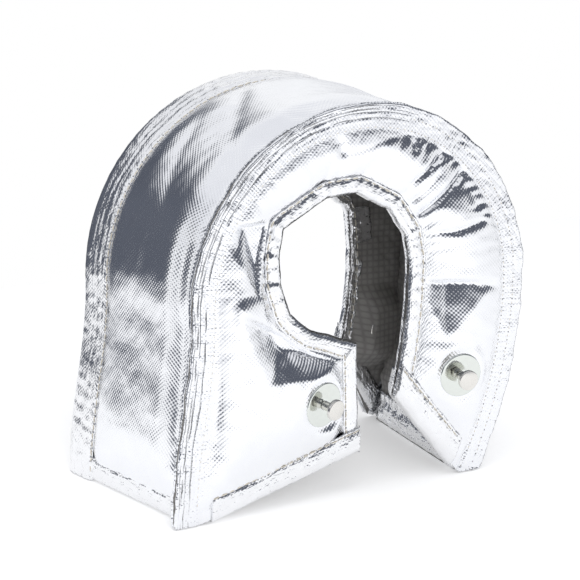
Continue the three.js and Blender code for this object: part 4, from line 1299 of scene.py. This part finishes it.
def anchor(name):
    middle, axis, low, high = disc_frame(f"{name}_washer")
    seat = middle + axis * low
    pieces = []
    washer = [(2.8, 0.12), (2.8, 0.85)]
    washer += [(r, 1.0 - 0.25 * math.exp(-((r - 3.2) / 1.4) ** 2)) for r in np.linspace(3.1, 11.6, 12)]
    washer += [(12.3, 0.92), (12.62, 0.7), (12.7, 0.4), (12.6, 0.1), (12.2, 0.0), (2.95, 0.0), (2.8, 0.12)]
    made = lathe(f"{name}_plate", seat, axis, washer, WASHER, 96)
    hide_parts(f"{name}_washer")
    pieces.append(made)
    base_middle, _, base_low, base_high = disc_frame(f"{name}_base")
    bottom = (base_middle - seat) @ axis + base_low
    post = rounded(
        [(0.001, bottom), (12.7, bottom), (12.7, bottom + 1.0), (2.5, bottom + 1.0), (2.5, 8.6), (0.001, 8.6)], 0.3
    )
    made = lathe(f"{name}_post", seat, axis, post, ANCHOR)
    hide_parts(f"{name}_base")
    pieces.append(made)
    head = rounded([(2.62, 9.3), (2.62, 8.0), (5.75, 8.0), (5.75, 10.4), (3.0, 10.85), (0.001, 11.0)], 0.45)
    head = [(0.001, 9.3)] + head
    made = lathe(f"{name}_cap", seat, axis, head, ANCHOR)
    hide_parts(f"{name}_head")
    pieces.append(made)
    return seat, axis, bottom


def press_under(obj_grid, seat, axis, level=-0.25, radius=12.9, fade=5.5):
    """Moves cloth so that it lies flat against a washer."""
    offset = obj_grid - seat
    height = offset @ axis
    across = np.linalg.norm(offset - height[..., None] * axis, axis=-1)
    t = np.clip((across - radius) / fade, 0, 1)
    weight = 1 - t * t * (3 - 2 * t)
    weight = weight * (np.abs(height) < 15)
    return obj_grid - axis * ((height - level) * weight)[..., None]


# The whole blanket

ANCHORS = ("front_left_anchor", "front_right_anchor", "rear_left_anchor", "rear_right_anchor")
seats, discs = {}, {}
for anchor_name in ANCHORS:
    seat, axis, inner_end = anchor(anchor_name)
    seats[anchor_name] = (seat, axis)
    discs[anchor_name] = (seat, axis, inner_end)

front = plan(-1, FRONT_OPENING, 3.0)
front["margin"] = 3.0
rear = plan(1, REAR_OPENING, REAR_STRIP + 0.3)
rear["margin"] = REAR_STRIP + 0.3

steps = flange_steps(13, -2.0, FLANGE, front["rim_lengths"], 61)
front_skin = panel_skin(
    front, "front_skin", FRONT_FOLDS, 52, steps, 21, 0.62,
    [seats["front_left_anchor"], seats["front_right_anchor"]],
)
REAR_FOLDS = (
    ((-100, 150), (-70, 140), 6.0, 1.8, 0.5),
    ((-70, 190), (-50, 165), 4.0, 1.8, 0.5),
    ((70, 175), (50, 150), 4.0, 2.0, -0.5),
    ((60, 110), (95, 105), 6.0, 2.2, 0.6),
    ((-110, 90), (-70, 80), 7.0, 1.8, -0.5),
    ((-10, 215), (-5, 178), 4.0, 1.4, 0.4),
    ((30, 212), (20, 176), 4.0, 1.6, 0.4),
)
rear_edge = [np.full(len(rear["edge"]), -REAR_STRIP * k / 3.0) for k in (2.4, 1.2, 0.2)]
rear_skin = panel_skin(
    rear, "rear_skin", REAR_FOLDS, 44, rear_edge, 51, 0.5,
    [seats["rear_left_anchor"], seats["rear_right_anchor"]],
)
cover = band_skin()
lining = band_liner()
front_lining = panel_liner(front, "front_lining", 91, [discs[name] for name in ANCHORS[:2]])
rear_lining = panel_liner(rear, "rear_lining", 95, [discs[name] for name in ANCHORS[2:]])
front_mat = panel_mat(FRONT_OPENING, -1, 3.0, "front_padding", FRONT_FOLDS)
rear_mat = panel_mat(REAR_OPENING, 1, REAR_STRIP + 0.3, "rear_padding", REAR_FOLDS)
middle_mat = band_mat()
core = seam_core()
edge_strip, edge_grid = rear_strip()
front_hem = opening_strip(front, "front_opening_strip", FRONT_OPENING, 101)
rear_hem = opening_strip(rear, "rear_opening_strip", REAR_OPENING, 105)
last = len(front["edge"]) - 1
front_left_foot, front_left_line = foot_strip(front, "front_left_foot_strip", 0, 111)
front_right_foot, front_right_line = foot_strip(front, "front_right_foot_strip", last, 113)
rear_left_foot, rear_left_line = foot_strip(rear, "rear_left_foot_strip", 0, 115)
rear_right_foot, rear_right_line = foot_strip(rear, "rear_right_foot_strip", last, 117)
band_left_foot, band_left_grid, band_left_out = band_foot_strip("band_left_foot_strip", 0, 121)
band_right_foot, band_right_grid, band_right_out = band_foot_strip("band_right_foot_strip", last, 123, 13.0, 17.0)


def grid_of(obj, rows):
    """A grid piece's points again, in millimetres of the drawing."""
    co = np.empty(len(obj.data.vertices) * 3, np.float32)
    obj.data.vertices.foreach_get("co", co)
    return co.reshape(rows, -1, 3).astype(float) / MM - SHIFT


def facing(line, way, lengths):
    return line, np.broadcast_to(np.array(way, float), line.shape), lengths


count = last + 1
front_grid = grid_of(front_skin, count)
rear_grid = grid_of(rear_skin, count)
hem_grid = grid_of(front_hem, count)
rear_hem_grid = grid_of(rear_hem, count)
seam_column = 3 + 51
right_side = slice(int(np.argmax(front["rim"][:, 0] > 25.0)), -6)
front_rows = [
    facing(front_grid[6:-6, seam_column + 1], (0, -1, 0), front["rim_lengths"][6:-6]),
    facing(front_grid[right_side, seam_column + 7], (0, -1, 0), front["rim_lengths"][right_side]),
]
hem_lengths, rear_hem_lengths = front["lengths"][6:-6], rear["lengths"][6:-6]
hem_rows = [
    facing(hem_grid[6:-6, 2], (0, -1, 0), hem_lengths),
    facing(hem_grid[6:-6, -2], (0, 1, 0), hem_lengths),
]
inner_row = lift(rear["edge"] + rear["inward"] * 3.4, INNER + HEM_RISE - HEM_THICK - OUTER_BINDING - 0.9)
rear_hem_rows = [
    facing(rear_hem_grid[6:-6, 2], (0, 1, 0), rear_hem_lengths),
    facing(inner_row[6:-6], (0, -1, 0), rear_hem_lengths),
]
foot_rows = [
    facing(front_left_line[0], (0, -1, 0), front_left_line[1]),
    facing(front_right_line[0], (0, -1, 0), front_right_line[1]),
    facing(rear_left_line[0], (0, 1, 0), rear_left_line[1]),
    facing(rear_right_line[0], (0, 1, 0), rear_right_line[1]),
    (band_left_grid[:, 1], band_left_out, band_left_grid[:, 1, 1] + 60.0),
    (band_right_grid[:, 1], band_right_out, band_right_grid[:, 1, 1] + 60.0),
]
runs, shares = stations()
rim_out = normals_of(outline_at(SEAM_DEPTH / 2, runs, shares))
edge_rows = [
    (edge_grid[4:-4, 1], lift(rim_out, 0.0)[4:-4], rear["rim_lengths"][4:-4]),
    facing(edge_grid[4:-4, -2], (0, 1, 0), rear["rim_lengths"][4:-4]),
]
seam_thread = stitches("front_seam_stitches", front_rows)
hem_thread = stitches("front_opening_stitches", hem_rows)
rear_hem_thread = stitches("rear_opening_stitches", rear_hem_rows)
foot_thread = stitches("foot_stitches", foot_rows)
edge_thread = stitches("rear_seam_stitches", edge_rows)

STANDS_FOR = (
    (cover, ("band_outer_skin",), "foil_skin"),
    (front_skin, ("front_outer_skin",), "foil_skin"),
    (rear_skin, ("rear_outer_skin",), "foil_skin"),
    (lining, ("band_liner",), "woven_liner"),
    (front_lining, ("front_liner",), "woven_liner"),
    (rear_lining, ("rear_liner",), "woven_liner"),
    (core, ("front_seam_core",), "woven_liner"),
    (middle_mat, ("band_insulation",), "insulation_mat"),
    (front_mat, ("front_insulation",), "insulation_mat"),
    (rear_mat, ("rear_insulation",), "insulation_mat"),
    (edge_strip, ("rear_seam_binding",), "foil_binding"),
    (front_hem, ("front_opening_binding",), "foil_binding"),
    (rear_hem, ("rear_opening_binding",), "foil_binding"),
    (front_left_foot, ("front_left_foot_binding",), "foil_binding"),
    (front_right_foot, ("front_right_foot_binding",), "foil_binding"),
    (rear_left_foot, ("rear_left_foot_binding",), "foil_binding"),
    (rear_right_foot, ("rear_right_foot_binding",), "foil_binding"),
    (band_left_foot, ("band_left_foot_binding",), "foil_binding"),
    (band_right_foot, ("band_right_foot_binding",), "foil_binding"),
)
for piece, nodes, slot in STANDS_FOR:
    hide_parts(*nodes)


# A strip's flat size as a length and a width, in metres; nothing calls this


def strip_area(length, width):
    return dict(flat=(length, width))


# Floor, light and camera


def floor():
    left, front, right, behind = -0.62, -1.2, 1.2, 0.49
    cut_left, cut_from, cut_to = -0.20, -0.15, 0.05
    mesh = bpy.data.meshes.new("floor")
    corners = [(cut_left, front), (right, front), (right, behind), (left, behind), (left, cut_to), (cut_left, cut_from)]
    mesh.from_pydata([(x, y, -0.0002) for x, y in corners], [], [tuple(range(len(corners)))])
    obj = bpy.data.objects.new("floor", mesh)
    scene.collection.objects.link(obj)
    made, tree, shader = material("floor")
    tree.nodes.remove(shader)
    out = tree.nodes["Material Output"]
    matt = node(tree, "ShaderNodeBsdfDiffuse", {"Color": (0.80, 0.80, 0.805, 1)})
    glow = node(tree, "ShaderNodeEmission", {"Color": (1, 1, 1, 1)})
    rays = node(tree, "ShaderNodeLightPath")
    seen = maths(tree, "MAXIMUM", rays.outputs["Is Camera Ray"], rays.outputs["Is Transmission Ray"])
    mirrored = maths(tree, "MULTIPLY", rays.outputs["Is Glossy Ray"], 0.26)
    tree.links.new(maths(tree, "MULTIPLY_ADD", seen, 0.34, mirrored), glow.inputs["Strength"])
    both = node(tree, "ShaderNodeAddShader")
    tree.links.new(matt.outputs[0], both.inputs[0])
    tree.links.new(glow.outputs[0], both.inputs[1])
    tree.links.new(both.outputs[0], out.inputs["Surface"])
    mesh.materials.append(made)


def band_mask(tree, value, low, high, soft):
    """1 between two limits, falling to 0 beyond them."""
    up = node(tree, "ShaderNodeMapRange", {"Value": value, "From Min": low - soft, "From Max": low + soft}, interpolation_type="SMOOTHSTEP")
    down = node(tree, "ShaderNodeMapRange", {"Value": value, "From Min": high + soft, "From Max": high - soft}, interpolation_type="SMOOTHSTEP")
    return maths(tree, "MULTIPLY", up.outputs[0], down.outputs[0])


def studio():
    """A white room with two dark openings between its soft boxes, which only gloss shows."""
    world = bpy.data.worlds.new("studio")
    scene.world = world
    world.use_nodes = True
    tree = world.node_tree
    back = tree.nodes["Background"]
    way = node(tree, "ShaderNodeTexCoord").outputs["Generated"]
    parts = node(tree, "ShaderNodeSeparateXYZ", {0: way})
    x, y, z = parts.outputs
    height = maths(tree, "MULTIPLY", maths(tree, "ARCSINE", z), 180 / math.pi)
    turn = maths(tree, "MULTIPLY", maths(tree, "ARCTAN2", x, y), 180 / math.pi)  # 0 behind, 90 right, -90 left
    behind_left = maths(tree, "MULTIPLY", band_mask(tree, turn, -64, 14, 4), band_mask(tree, height, -60, 34, 5))
    turn_front = maths(tree, "MULTIPLY", maths(tree, "ARCTAN2", x, maths(tree, "MULTIPLY", y, -1.0)), 180 / math.pi)
    front_up = maths(tree, "MULTIPLY", band_mask(tree, turn_front, -50, 100, 8), band_mask(tree, height, 6, 42, 5))
    front_left = maths(tree, "MULTIPLY", band_mask(tree, turn_front, -95, -40, 6), band_mask(tree, height, -40, 20, 6))
    dark = maths(tree, "MAXIMUM", maths(tree, "MAXIMUM", behind_left, front_up), front_left)
    folds = node(tree, "ShaderNodeTexNoise", {"Vector": way, "Scale": 3.5, "Detail": 2.0}).outputs["Fac"]
    slate = mixed(tree, folds, (0.035, 0.04, 0.055), (0.16, 0.175, 0.215))
    boxes = node(tree, "ShaderNodeTexNoise", {"Vector": way, "Scale": 1.7, "Detail": 1.0}).outputs["Fac"]
    boxes = node(tree, "ShaderNodeMapRange", {"Value": boxes, "From Min": 0.4, "From Max": 0.6}, interpolation_type="SMOOTHSTEP")
    white_wall = mixed(tree, boxes.outputs[0], (0.82, 0.83, 0.865), (0.97, 0.975, 0.985))
    wall = mixed(tree, dark, white_wall, slate)
    rays = node(tree, "ShaderNodeLightPath")
    plain = maths(tree, "MAXIMUM", rays.outputs["Is Camera Ray"], rays.outputs["Is Transmission Ray"])
    gloss = rays.outputs["Is Glossy Ray"]
    soft = node(tree, "ShaderNodeBackground", {"Color": (0.97, 0.98, 1.0, 1), "Strength": 0.72})
    tree.links.new(wall, back.inputs["Color"])
    back.inputs["Strength"].default_value = 1.0
    white = node(tree, "ShaderNodeBackground", {"Color": (1, 1, 1, 1), "Strength": 1.0})
    first = node(tree, "ShaderNodeMixShader", {0: gloss})
    tree.links.new(soft.outputs[0], first.inputs[1])
    tree.links.new(back.outputs[0], first.inputs[2])
    second = node(tree, "ShaderNodeMixShader", {0: plain})
    tree.links.new(first.outputs[0], second.inputs[1])
    tree.links.new(white.outputs[0], second.inputs[2])
    tree.links.new(second.outputs[0], tree.nodes["World Output"].inputs["Surface"])


def lamp(name, place_at, aim, size, watts):
    light = bpy.data.lights.new(name, "AREA")
    light.size = size
    light.energy = watts
    obj = bpy.data.objects.new(name, light)
    scene.collection.objects.link(obj)
    obj.location = place_at
    obj.rotation_euler = (Vector(aim) - Vector(place_at)).to_track_quat("-Z", "Y").to_euler()
    obj.visible_glossy = False


def camera():
    azimuth, elevation, distance = math.radians(-29.64), math.radians(13.95), 1.0
    target = (Vector((-14.64, 0.0, 105.71)) + Vector(SHIFT)) * MM
    back = Vector(
        (math.sin(azimuth) * math.cos(elevation), -math.cos(azimuth) * math.cos(elevation), math.sin(elevation))
    )
    data = bpy.data.cameras.new("camera")
    data.sensor_width = 36.0
    data.lens = 1765.4 / 580 * 36.0
    obj = bpy.data.objects.new("camera", data)
    scene.collection.objects.link(obj)
    obj.location = target + back * distance
    obj.rotation_mode = "QUATERNION"
    obj.rotation_quaternion = (-back).to_track_quat("-Z", "Y")
    scene.camera = obj


floor()
studio()
lamp("key", (-0.35, -0.35, 1.2), (0.0, 0.0, 0.08), 0.9, 4.0)
lamp("fill", (-0.25, -1.1, 0.5), (0.0, 0.0, 0.1), 0.7, 5.0)
camera()
scene.view_settings.view_transform = "Standard"
